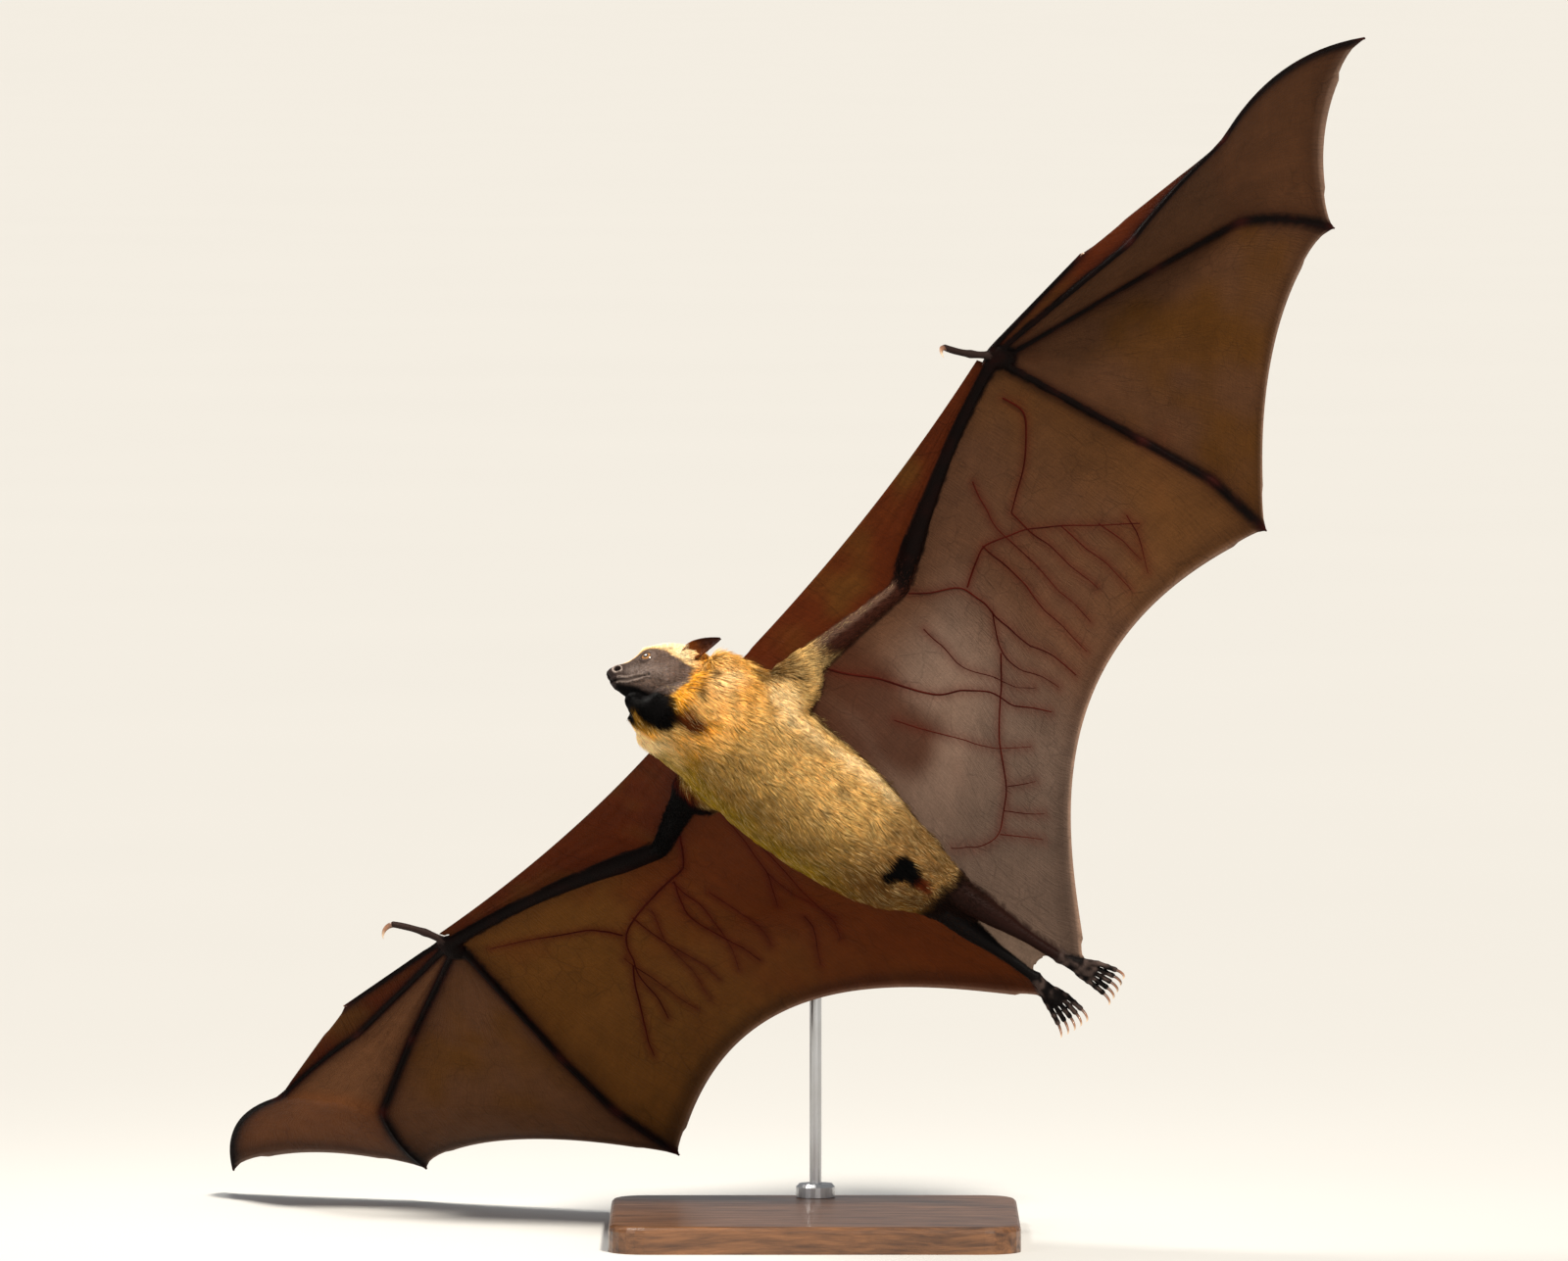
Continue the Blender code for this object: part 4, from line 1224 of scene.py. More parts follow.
def vein_paths():
    """Each vein as points on its sheet, with its radius."""
    for side, veins in VEINS.items():
        grid = SHEETS[(side, SIDE_SHEET)]
        for number, (width, *line) in enumerate(veins):
            line = np.array(line)
            rough = on_sheet(grid, line[:, 0], line[:, 1])
            length = np.linalg.norm(np.diff(rough, axis=0), axis=1).sum()
            steps = max(6, int(length / VEIN_STEP))
            places = np.linspace(0, 1, len(line))
            share = np.linspace(0, 1, steps)
            across, along = (np.interp(share, places, column) for column in line.T)
            seed = number + 40 * (side > 0)
            wander = noise(np.stack([share * length, share * 0, share * 0], -1), VEIN_BEND, seed)
            curve = averaged_line(np.stack([across + VEIN_WANDER * wander, along], -1), 8)
            path = on_sheet(grid, curve[:, 0], curve[:, 1])
            yield path, width * 0.7 * (1 - 0.45 * share**1.5) + 0.15


def averaged_line(points, rounds):
    for _ in range(rounds):
        inner = (points[:-2] + 2 * points[1:-1] + points[2:]) / 4
        points = np.concatenate([points[:1], inner, points[-1:]])
    return points


# ---------------------------------------------------------------- markings, for skin and coat alike

# Colours of the fur.
GOLD = linear(240, 170, 54)
PALE_GOLD = linear(255, 224, 160)
CREAM = linear(255, 226, 170)
CROWN = linear(255, 232, 186)
UMBER = linear(84, 54, 26)
GREY_BROWN = linear(104, 84, 60)
ARM_CREAM = linear(176, 148, 100)
ARM_BROWN = linear(140, 96, 62)
# The bare left arm's forward face, lighter as painted light.
ARM_LIT_PALE = linear(104, 78, 64)
ARM_RED = linear(54, 26, 17)
BUFF = linear(222, 179, 108)
GRIZZLED = linear(152, 116, 58)
# Olive of painted shade on the belly's far flank.
SHADE_OLIVE = linear(136, 108, 18)
RUST = linear(84, 22, 4)
RUMP_BROWN = linear(96, 58, 26)
SEAL_BROWN = linear(26, 14, 9)
BLACK = linear(7, 4, 4)
MASK = linear(107, 89, 80)
MASK_DARK = linear(58, 47, 44)
MASK_PALE = linear(150, 134, 126)
BACK_BROWN = linear(50, 32, 20)
MANTLE = linear(186, 132, 66)
BLOOD = linear(56, 10, 3)

# The dark throat, as a line in body coordinates, and the reddish fringe behind it.
THROAT = ((88, -25, -20), (78, -20, -30), (69, -17.5, -36))
THROAT_REACH = 10.5
FRINGE = ((70, -8, -32), (64, -5, -37), (55, -5, -40))
# Round places that make up the dark vent, each with its radius, and the reddish streak behind it.
VENT = (((-113.5, 12, -26.3), 9.2), ((-110, 3.5, -29.2), 6.4), ((-121, 12, -24.2), 6.2))
VENT_TAIL = ((-122, 12, -24), (-141, 9, -20.5))
# Pale fur down the left side from the shoulder, and painted shade in the armpit.
SHOULDER_CREAM = ((24, 38, -6), (6, 37, -14), (-24, 40, -12), (-76, 40, 0))
ARMPIT_SHADE = ((38, 34, 2), (26, 42, 12), (-6, 41, 16))
# The pale cheek, in head coordinates, the pale ruff behind it, and dark streaks of painted shade between
# clumps of the ruff.
CHEEK = ((14, 8, -1), (24, 13, -3), (33, 16, -6))
CREAM_RUFF = ((58, 22, -24), (54, 23, -12))
RUFF_SHADE_STREAKS = (((69, 10, -12), (62, 9, -31)), ((66, 16, -6), (62, 20, -16)))
# The edges of the bare face: distance back, and height above the nostrils.
MASK_TOP = (
    (5, 4.5),
    (10, 6.5),
    (16, 11),
    (20, 13.8),
    (26, 14),
    (31.5, 12),
    (36, 8.5),
    (40, 4.8),
    (50, -2.2),
    (56, -6),
)
CHIN_TOP = ((0, -7.5), (9, -10.6), (17, -12.8), (25, -17), (37, -23), (46, -31))
# The rear edge of the bare face: height above the nostrils, and distance back.
MASK_REAR = ((-26, 34), (-23, 38), (-14, 49), (-2, 51))


def trunk_at(forward):
    """Half width and sideways place of the trunk at distances along the spine."""
    rows = np.array(BODY_STATIONS, float)
    return np.interp(forward, rows[:, 0], rows[:, 1]), np.interp(forward, rows[:, 0], rows[:, 3])


class Places:
    """Points in the terms that the markings and the coat are laid out in."""

    def __init__(self, points, normals):
        self.points = points
        self.normals = normals
        self.body = body_coordinates(points)
        self.forward, self.left, self.up = self.body.T
        self.half, self.aside = trunk_at(self.forward)
        self.out = np.abs(self.left - self.aside) - self.half
        self.back, self.head_left, self.head_up = head_coordinates(points).T
        self.mirrored = np.stack([self.back, np.abs(self.head_left), self.head_up], -1)
        self.above_mask = self.head_up - np.interp(self.back, *np.array(MASK_TOP).T)
        self.above_chin = self.head_up - np.interp(self.back, *np.array(CHIN_TOP).T)

    def near(self, line, start, end, rough):
        """From 0 to 1 as a place comes nearer than start, then end, to a line of the body."""
        return smoothstep(start, end, line_distance(self.body, line) + rough)


def trunk_colour(at, patchy):
    """The belly, from its buff middle and lit side to the olive of painted shade on the far flank, with its
    ruff, rump and vent.
    """
    across = (at.left - at.aside) / np.maximum(at.half, 8)
    # Buff and gold towards the lit left side, olive towards the far right flank: painted light and shade.
    colour = blend(GRIZZLED, BUFF, smoothstep(-0.25, 0.85, across + 0.25 * patchy))
    colour = blend(colour, SHADE_OLIVE, smoothstep(-0.2, -0.8, across + 0.2 * patchy) * 0.95)
    gold = smoothstep(16, 52, at.forward + 9 * patchy)
    colour = blend(colour, GOLD, gold * (0.15 + 0.85 * smoothstep(-0.75, 0.25, across)))
    colour = blend(colour, PALE_GOLD, 0.4 * gold * smoothstep(0.1, 0.9, patchy + 0.5))
    colour = blend(colour, SHADE_OLIVE, 0.55 * smoothstep(-0.35, -0.85, across) * smoothstep(15, 45, at.forward))
    colour = blend(colour, CREAM, 0.75 * bell(line_distance(at.body, CREAM_RUFF) + 4 * patchy, 9))
    # Painted shade between clumps of fur in the ruff.
    for streak in RUFF_SHADE_STREAKS:
        colour = blend(colour, UMBER, 0.9 * at.near(streak, 6, 2, 4 * patchy))
    colour = blend(colour, RUST, 0.95 * at.near(FRINGE, 12.5, 5, 4 * patchy))
    blotch = noise(at.points, 12, 21)
    colour = blend(colour, GREY_BROWN, 0.5 * smoothstep(0.3, 0.75, blotch) * smoothstep(10, -20, at.forward))
    colour = blend(colour, CREAM, 0.25 * smoothstep(-0.86, -1.08, across) * smoothstep(-90, -60, at.forward))
    colour = blend(colour, CREAM, 0.85 * at.near(SHOULDER_CREAM, 15, 6, 6 * patchy))
    # Painted shade in the armpit, where arm and body meet.
    colour = blend(colour, UMBER, 0.8 * at.near(ARMPIT_SHADE, 11, 3, 7 * patchy))
    colour = blend(colour, RUMP_BROWN, smoothstep(-62, -108, at.forward + 8 * patchy) * 0.75)
    colour = blend(colour, SEAL_BROWN, smoothstep(-142, -152, at.forward + 5 * patchy))
    colour = blend(colour, RUST, 0.9 * at.near(VENT_TAIL, 6, 2.5, 3 * patchy))
    vent = np.min([np.linalg.norm(at.body - centre, axis=1) - radius for centre, radius in VENT], axis=0)
    return blend(colour, BLACK, smoothstep(1.4, -0.8, vent + 2 * patchy))


def with_back_and_arms(colour, at, patchy):
    """Adds the dark back with its pale mantle, the fur on the upper arms, painted shadow over the right arm
    and flank, and painted light and shade on the bare left arm.
    """
    winged = smoothstep(-6, 6, at.out)
    facing = at.up * (1 - winged) + (at.normals @ SPINE[2] * 30 + 6) * winged
    dorsal = smoothstep(-4, 22, facing + 5 * patchy)
    mantle = blend(BACK_BROWN, MANTLE, smoothstep(28, 50, at.forward + 6 * patchy))
    colour = blend(colour, mantle, dorsal)
    colour = blend(colour, ARM_BROWN, smoothstep(8, 60, at.out) * (1 - dorsal) * 0.6)
    # Painted shadow of the body over the right arm and flank: dark rust near the body, black further out.
    reach = at.out + 4 * patchy
    right_arm_shadow = smoothstep(-11, 0, reach - 0.3 * np.maximum(at.forward - 20, 0))
    right_arm_shadow = right_arm_shadow * smoothstep(0, 12, at.forward)
    right_flank_shadow = smoothstep(-1, 4, reach) * smoothstep(-40, -25, at.forward)
    right_arm_shadow = np.maximum(right_arm_shadow, right_flank_shadow) * (at.left < at.aside)
    right_arm_shadow = right_arm_shadow * smoothstep(64, 56, at.forward) * smoothstep(-100, -80, at.forward)
    colour = blend(colour, blend(RUST, BLACK, smoothstep(-6, 8, reach)), right_arm_shadow)
    left_arm = (at.left > at.aside) * (1 - dorsal) * smoothstep(-100, -80, at.forward)
    colour = blend(colour, ARM_CREAM, 0.6 * left_arm * smoothstep(-2, 20, reach))
    # The bare left arm lighter on its forward face and dark red behind: painted light and shade.
    bare_arm = blend(ARM_RED, ARM_LIT_PALE, smoothstep(0.1, 0.65, at.normals @ SPINE[0]))
    return blend(colour, bare_arm, left_arm * smoothstep(16, 34, reach))


def with_head(colour, at, patchy):
    """Adds the gold crown, the grey mask, and the black chin and throat."""
    on_the_head = smoothstep(66, 56, at.back) * smoothstep(30, 24, np.abs(at.head_left))
    on_the_head = on_the_head * smoothstep(62, 68, at.forward)
    crown = smoothstep(-1.2, 1.2, at.above_mask + 1.5 * patchy)
    head = blend(GOLD, CROWN, smoothstep(-6, 6, at.above_mask) * smoothstep(60, 44, at.back))
    colour = blend(colour, head, on_the_head)
    rear = np.interp(at.head_up, *np.array(MASK_REAR).T) + 2 * patchy
    mask = smoothstep(rear + 2, rear - 2, at.back) * (1 - crown) * on_the_head
    face = blend(MASK, MASK_DARK, smoothstep(24, 5, at.back) * 0.8 + 0.3 * smoothstep(0.1, 0.7, patchy))
    # Painted shade on the lower face, above the chin.
    face = blend(face, MASK_DARK, 0.7 * smoothstep(7, 0, at.above_chin) * smoothstep(14, 26, at.back))
    face = blend(face, MASK_PALE, 0.5 * bell(line_distance(at.mirrored, CHEEK), 4))
    colour = blend(colour, face, mask * smoothstep(-10, -6, at.above_chin))

    throat = at.near(THROAT, THROAT_REACH + 3, THROAT_REACH - 3, 2.5 * patchy)
    throat = throat * (1 - on_the_head * smoothstep(-1.5, 1.5, at.above_chin))
    far_side = smoothstep(-33, -39, at.left + 0.5 * (at.forward - 69) + 2 * patchy)
    colour = blend(colour, CREAM, 0.8 * far_side * smoothstep(50, 62, at.forward) * (at.above_chin < -6))
    chin = smoothstep(1.5, -1.5, at.above_chin + patchy) * smoothstep(46, 38, at.back) * on_the_head
    chin = chin * smoothstep(-21.5, -18, at.above_chin + patchy)
    return blend(colour, BLACK, np.maximum(throat * (1 - far_side), chin * (1 - far_side)))


def fur_colour(at):
    """The coat's colour at places on the body and head."""
    patchy = noise(at.points, 17, 2) * 0.5 + noise(at.points, 6, 3) * 0.35
    colour = with_back_and_arms(trunk_colour(at, patchy), at, patchy)
    return with_head(colour, at, patchy)


# Colours of the wings' skin.
MAUVE = linear(72, 47, 32)
PALE_MAUVE = linear(83, 66, 56)
# The body's shadow on the left wing's membrane, painted.
BODY_SHADOW_MAUVE = linear(52, 26, 14)
OUTER_BROWN = linear(67, 42, 25)
OLIVE_BROWN = linear(69, 41, 12)
RUST_BROWN = linear(68, 26, 6)
# The right wing's membrane, redder with a painted glow of light shining through it.
RIGHT_GLOW_RUST = linear(72, 31, 7)
# Pink of the wing tips, partly a painted sheen.
TIP_SHEEN_PINK = linear(62, 35, 17)
TAIL_GREY = linear(108, 88, 74)
BONE_RED = linear(26, 4, 2)
# Colours of the other bare skin.
ARM_DARK = linear(9, 3, 2)
KNUCKLE = linear(48, 14, 9)
HIDE_BLACK = linear(10, 7, 7)
SHIN_RED = linear(40, 18, 12)
THUMB_GREY = linear(46, 34, 31)
FOOT_GREY = linear(92, 76, 70)
EAR_DARK = linear(40, 16, 7)
EAR_GLOW = linear(104, 52, 16)
LID_GREY = linear(84, 70, 64)
NOSE_DARK = linear(52, 42, 40)
MOUTH_DARK = linear(14, 8, 8)
# Painted highlights on the rims of lips and nostrils.
RIM_HIGHLIGHT_GREY = linear(186, 168, 158)
# Where the left wing's skin is shaded by the body, as a line in body coordinates.
SHADED_SKIN = ((30, 62, 26), (-33, 62, 36), (-70, 56, 34))
# How far back the thinly haired face reaches.
FACE_BACK = 44


def side_sheet_colour(at, left, across, along, patchy):
    """The large membrane between arm and leg, shaded beside the body."""
    body = blend(MAUVE, PALE_MAUVE, smoothstep(0.6, 0.35, across) * smoothstep(0.05, 0.3, along))
    bright = 1 + 0.35 * bell(across - 0.28, 0.15) * bell(along - 0.42, 0.2)
    body = body * (bright - 0.28 * smoothstep(0.5, 0.2, across) * smoothstep(0.45, 0.7, along))[:, None]
    body = blend(body, OLIVE_BROWN, smoothstep(0.6, 1.0, across + 0.15 * patchy) * 0.7)
    # Painted shadow of the body on the membrane beside the flank and armpit.
    by_flank = smoothstep(0.2, 0.04, across) * smoothstep(0.5, 0.25, along)
    shaded = np.maximum(at.near(SHADED_SKIN, 34, 12, 10 * patchy), by_flank)
    body = blend(body, BODY_SHADOW_MAUVE, 0.85 * shaded)
    # The right wing's membrane warmer and redder: painted glow of light shining through it.
    right_glow = blend(RIGHT_GLOW_RUST, OLIVE_BROWN, smoothstep(0.25, 0.75, across + 0.2 * patchy))
    return np.where(left[:, None], body, right_glow)


def tip_colour(left, along, patchy):
    """The outermost membrane, pinker towards its edge, partly its own colour and partly a painted sheen that
    is strongest on the right wing, whose whole tip is lighter.
    """
    pink = smoothstep(0.60, 0.68, along + 0.02 * patchy) * np.where(left, 0.45, 1.0)
    tip = blend(OUTER_BROWN, TIP_SHEEN_PINK, pink)
    tip = blend(tip, TIP_SHEEN_PINK * 1.5, bell(along - 0.665, 0.035) * np.where(left, 0.2, 0.8))
    # The right wing's tip far lighter: painted sheen.
    return tip * np.where(left, 1, 2.3)[:, None]


def membrane_colour(at, facts, bones, veins):
    """The skin of every membrane, darker along bones and veins."""
    kind, side, across, along = facts[:, KIND:PIECE].T
    patchy = noise(at.points, 42, 7) * 0.6 + noise(at.points, 15, 8) * 0.3
    left = side >= 0
    colour = side_sheet_colour(at, left, across, along, patchy)
    middle = blend(OUTER_BROWN, OLIVE_BROWN, smoothstep(0.2, -0.5, patchy))
    colour = np.where((kind == MIDDLE_SHEET)[:, None], middle, colour)
    sunlit = 1 + 0.4 * np.maximum(smoothstep(0.2, 0.7, across), kind == MIDDLE_SHEET)
    colour = colour * np.where(left, 1, sunlit)[:, None]
    colour = np.where((kind == TIP_SHEET)[:, None], tip_colour(left, along, patchy), colour)
    front = blend(RUST_BROWN, OLIVE_BROWN, smoothstep(0.2, 0.9, patchy + 0.3))
    colour = np.where(np.isin(kind, (SHOULDER_SHEET, INDEX_SHEET))[:, None], front, colour)
    colour = np.where((kind == TAIL_SHEET)[:, None], TAIL_GREY, colour)
    colour = colour * (1 + 0.16 * patchy)[:, None]
    colour = blend(colour, RUST_BROWN, smoothstep(0.9, 0.2, along) * smoothstep(0.35, 0.8, patchy) * 0.5)
    colour = blend(colour, BONE_RED, 0.8 * bell(bones, 4.5) + np.where(left, 0.2, 0.4) * bell(bones, 14))
    colour = blend(colour, BLOOD, np.where(left, 0.6, 0.85) * bell(veins, 3.2))
    outer = np.isin(kind, (SIDE_SHEET, MIDDLE_SHEET, TIP_SHEET))
    colour = blend(colour, SEAL_BROWN, 0.55 * bell(along - 0.965, 0.03) * outer * np.where(left, 0.6, 1))
    # A painted rim of light along the trailing edge.
    colour = blend(colour, PALE_MAUVE * 3.6, 0.75 * smoothstep(0.988, 1.0, along) * outer)
    above = smoothstep(-0.2, 0.3, at.normals @ SPINE[2])
    return blend(colour, colour * 0.5 + SEAL_BROWN * 0.25, above)


def bare_colour(at, facts, bones, veins):
    """The skin's own colour where little or no fur covers it."""
    region, side = facts[:, REGION], facts[:, SIDE]
    colour = membrane_colour(at, facts, bones, veins)
    patchy = noise(at.points, 7, 12) * 0.5 + noise(at.points, 2.5, 13) * 0.3
    arm = blend(ARM_DARK, BONE_RED, smoothstep(-0.2, 0.8, patchy) * 0.7)
    knuckles = [wing.fingers[name][FINGER_STEPS::FINGER_STEPS] for wing in WINGS.values() for name in FINGERS]
    _, near_knuckle = nearest(np.concatenate(knuckles), at.points)
    arm = blend(arm, KNUCKLE, bell(near_knuckle, 5))
    leg = np.where((side > 0)[:, None], blend(SHIN_RED, HIDE_BLACK, 0.4), HIDE_BLACK)
    foot = smoothstep(-228, -244, at.forward)
    leg = blend(leg, HIDE_BLACK * 1.3, foot)
    # Pale patches on the feet: partly tendons, partly painted highlights.
    leg = blend(leg, FOOT_GREY, 0.7 * foot * smoothstep(-0.1, 0.5, noise(at.points, 3.2, 15)))
    ear = blend(EAR_GLOW, EAR_DARK, smoothstep(0.15, 0.75, facts[:, ALONG] + 0.2 * patchy))
    by_region = {ARM: arm, LEG: leg, THUMB_SKIN: THUMB_GREY, EAR: ear, LID: LID_GREY}
    for index, value in by_region.items():
        colour = np.where((region == index)[:, None], value, colour)
    return colour * (1 + 0.18 * patchy)[:, None]


def with_nose_and_mouth(colour, at):
    """Darkens the nose; paints shade into the nostrils, the groove between them and the mouth's line, and
    highlights on the rims of lips and nostrils.
    """
    colour = blend(colour, NOSE_DARK, smoothstep(5.5, 3.0, at.back))
    from_nostril = at.mirrored - np.array(NOSTRIL)
    pit = smoothstep(3.0, 1.9, np.linalg.norm(from_nostril - np.array(NOSTRIL_WAY), axis=1))
    groove = bell(at.head_left, 1.3) * smoothstep(3.5, 1.0, at.back) * smoothstep(-6.5, -5, at.head_up)
    lips = line_distance(at.mirrored, LIP_LINE)
    # Painted highlights along the lips' ridges and round the nostrils.
    rim_highlights = 0.55 * bell(lips - 1.7, 0.8) * (at.back > 4)
    rim_highlights = rim_highlights + bell(np.linalg.norm(from_nostril, axis=1) - 3.0, 0.6)
    colour = blend(colour, RIM_HIGHLIGHT_GREY, np.minimum(1, rim_highlights) * 0.8)
    # Painted shade in the nostrils, the groove between them and the mouth's crease.
    colour = blend(colour, MOUTH_DARK * 0.4, np.maximum(pit, groove * 0.9))
    return blend(colour, MOUTH_DARK, bell(lips, 0.8))


def skin_colour(at, facts, bones, veins):
    """The colour of every point of the skin, bare or under the coat."""
    head = facts[:, REGION] == HEAD_SKIN
    on_face = head & (at.back < FACE_BACK)
    # Skin under the coat takes the fur's colour, darker as painted shade beneath the tufts, less so on the
    # face and arms.
    depth = np.where(on_face, 0.8, 0.45 + 0.5 * smoothstep(20, 44, at.out))
    under_coat = fur_colour(at) * depth[:, None]
    bare = bare_colour(at, facts, bones, veins)
    colour = np.where((head | (facts[:, REGION] == BODY))[:, None], under_coat, bare)
    return np.where(head[:, None], with_nose_and_mouth(colour, at), colour)


# ---------------------------------------------------------------- materials


# Where most values of a noise texture lie, and of two noise textures added.
NOISE_RANGE = (0.3, 0.7)
TWO_NOISE_RANGE = (0.6, 1.4)


class Surface:
    """A material and its shader, with nodes added one call at a time."""

    def __init__(self, name, **values):
        self.material = bpy.data.materials.new(name)
        self.material.use_nodes = True
        self.tree = self.material.node_tree
        self.shader = self.tree.nodes["Principled BSDF"]
        self.shade(**values)

    def shade(self, **values):
        """Sets values of the shader: sockets or numbers, with _ for a space in their names."""
        self.set(self.shader, values)

    def set(self, node, values):
        for key, value in values.items():
            if isinstance(key, str):
                key = key.replace("_", " ")
            socket = node.inputs[key]
            if isinstance(value, bpy.types.NodeSocket):
                self.tree.links.new(value, socket)
            else:
                socket.default_value = value

    def node(self, kind, inputs=(), **settings):
        made = self.tree.nodes.new("ShaderNode" + kind)
        for key, value in settings.items():
            setattr(made, key, value)
        self.set(made, dict(inputs))
        return made

    def attribute(self, name, output="Color"):
        return self.node("Attribute", attribute_name=name).outputs[output]

    def place(self):
        return self.node("TexCoord").outputs["Object"]

    def noise(self, vector, scale, detail=3.0, roughness=0.5):
        inputs = {"Vector": vector, "Scale": scale, "Detail": detail, "Roughness": roughness}
        return self.node("TexNoise", inputs).outputs["Fac"]

    def stretched(self, vector, by):
        return self.node("VectorMath", {0: vector, 1: by}, operation="MULTIPLY").outputs[0]

    def ranged(self, value, low, high, to_low=0.0, to_high=1.0):
        inputs = {"Value": value, "From Min": low, "From Max": high, "To Min": to_low, "To Max": to_high}
        return self.node("MapRange", inputs).outputs["Result"]

    def math(self, operation, first, second):
        return self.node("Math", {0: first, 1: second}, operation=operation).outputs[0]

    def scaled(self, colour, by):
        """A colour times a value."""
        return self.node("VectorMath", {0: colour, "Scale": by}, operation="SCALE").outputs[0]

    def product(self, *values):
        result = values[0]
        for value in values[1:]:
            result = self.math("MULTIPLY", result, value)
        return result

    def bent(self, vector, scale, by):
        """Places pushed about by noise."""
        push = self.node("TexNoise", {"Vector": vector, "Scale": scale}).outputs["Color"]
        return self.node("VectorMath", {0: vector, 1: self.scaled(push, by)}).outputs[0]

    def cells(self, vector, scale, feature="F1"):
        made = self.node("TexVoronoi", {"Vector": vector, "Scale": scale}, feature=feature)
        return made.outputs["Distance"]

    def spread(self, pattern, low, high):
        """A noise texture's values, spread from low to high."""
        return self.ranged(pattern, *NOISE_RANGE, low, high)

    def mottled(self, first, second, low, high):
        """The tint, times a value from low to high that two noise textures set."""
        both = self.ranged(self.math("ADD", first, second), *TWO_NOISE_RANGE, low, high)
        return self.scaled(self.attribute("Tint"), both)

    def mixed(self, share, first, second):
        made = self.node("Mix", data_type="RGBA")
        self.set(made, {0: share, 6: first, 7: second})
        return made.outputs[2]

    def bumps(self, *layers):
        """Bumps laid one on another: each is a height, its distance in metres and its strength."""
        normal = None
        for height, distance, strength in layers:
            inputs = {"Height": height, "Distance": distance, "Strength": strength}
            if normal is not None:
                inputs["Normal"] = normal
            normal = self.node("Bump", inputs).outputs["Normal"]
        self.shade(Normal=normal)


def skin_material():
    s = Surface("skin", Roughness=0.5, IOR=1.42, Specular_IOR_Level=0.06)
    place = s.place()
    weave = s.attribute("Weave", "Vector")
    sheet = s.attribute("Membrane", "Fac")
    mottle = s.noise(place, 70, 6, 0.62)
    speckle = s.noise(place, 900, 3, 0.6)
    wavy = s.bent(weave, 0.05, 6.0)
    fibres = s.noise(s.stretched(wavy, (0.9, 0.05, 1)), 1.0, 4, 0.55)
    cross_fibres = s.noise(s.stretched(wavy, (0.06, 0.8, 1)), 1.0, 3, 0.5)
    net = s.ranged(s.cells(wavy, 0.075, "DISTANCE_TO_EDGE"), 0.05, 0.012)
    fine_net = s.ranged(s.cells(wavy, 0.2, "DISTANCE_TO_EDGE"), 0.05, 0.0, 0.0, 0.5)
    gaps = s.ranged(s.noise(weave, 0.03, 2), 0.42, 0.6)
    capillaries = s.math("MAXIMUM", s.product(net, gaps, sheet), s.product(fine_net, gaps, sheet))
    fibrous = s.product(s.math("ADD", fibres, cross_fibres), sheet)
    strength = s.ranged(s.math("ADD", mottle, fibrous), 0.2, 1.9, 0.72, 1.36)
    colour = s.scaled(s.attribute("Tint"), strength)
    colour = s.scaled(colour, s.ranged(speckle, 0.25, 0.75, 0.88, 1.12))
    colour = s.mixed(s.product(capillaries, 0.3), colour, s.scaled(colour, 0.42))
    creases = s.noise(s.stretched(place, (500, 500, 500)), 1.0, 5, 0.65)
    dry = s.ranged(speckle, 0.2, 0.8, 0.4, 0.62)
    wet = s.product(s.attribute("Wet", "Fac"), 0.26)
    s.shade(Base_Color=colour, Roughness=s.math("SUBTRACT", dry, wet))
    s.bumps(
        (creases, 0.0006, 0.5),
        (s.cells(place, 1300), 0.0004, 0.45),
        (s.product(fibres, sheet), 0.0012, 0.55),
        (s.product(cross_fibres, sheet), 0.0006, 0.3),
        (capillaries, 0.0004, 0.4),
    )
    return s.material


def coat_material():
    s = Surface("coat", Roughness=0.58, IOR=1.45, Specular_IOR_Level=0.04)
    place = s.place()
    strands = s.noise(place, 2200, 2, 0.6)
    drift = s.noise(place, 160, 3, 0.5)
    s.shade(Base_Color=s.mottled(strands, drift, 0.68, 1.36), Roughness=s.spread(strands, 0.5, 0.72))
    s.bumps((strands, 0.0002, 0.35))
    return s.material


def eye_material():
    s = Surface("eye", Roughness=0.08, IOR=1.4, Coat_Weight=1.0, Coat_Roughness=0.02)
    rays = s.noise(s.stretched(s.attribute("Iris", "Vector"), (9, 0.7, 1)), 1.0, 4, 0.6)
    cloud = s.noise(s.place(), 700, 3, 0.5)
    colour = s.scaled(s.attribute("Tint"), s.spread(rays, 0.6, 1.45))
    s.shade(Base_Color=s.scaled(colour, s.spread(cloud, 0.9, 1.1)))
    s.bumps((rays, 0.0001, 0.2))
    return s.material


def claw_material():
    s = Surface("claw", Roughness=0.3, IOR=1.5, Coat_Weight=0.2)
    grain = s.noise(s.place(), 900, 4, 0.6)
    layers = s.noise(s.stretched(s.attribute("Weave", "Vector"), (9, 26, 1)), 1.0, 3, 0.6)
    s.shade(Base_Color=s.mottled(grain, layers, 0.75, 1.25), Roughness=s.spread(grain, 0.24, 0.42))
    s.bumps((layers, 0.0002, 0.3))
    return s.material


def vein_material():
    s = Surface("vein", Roughness=0.6, IOR=1.42, Specular_IOR_Level=0.04)
    place = s.place()
    cloud = s.noise(place, 220, 4, 0.6)
    fine = s.noise(place, 1400, 2, 0.6)
    s.shade(Base_Color=s.mottled(cloud, fine, 0.7, 1.35), Roughness=s.spread(fine, 0.42, 0.6))
    s.bumps((fine, 0.0002, 0.3))
    return s.material


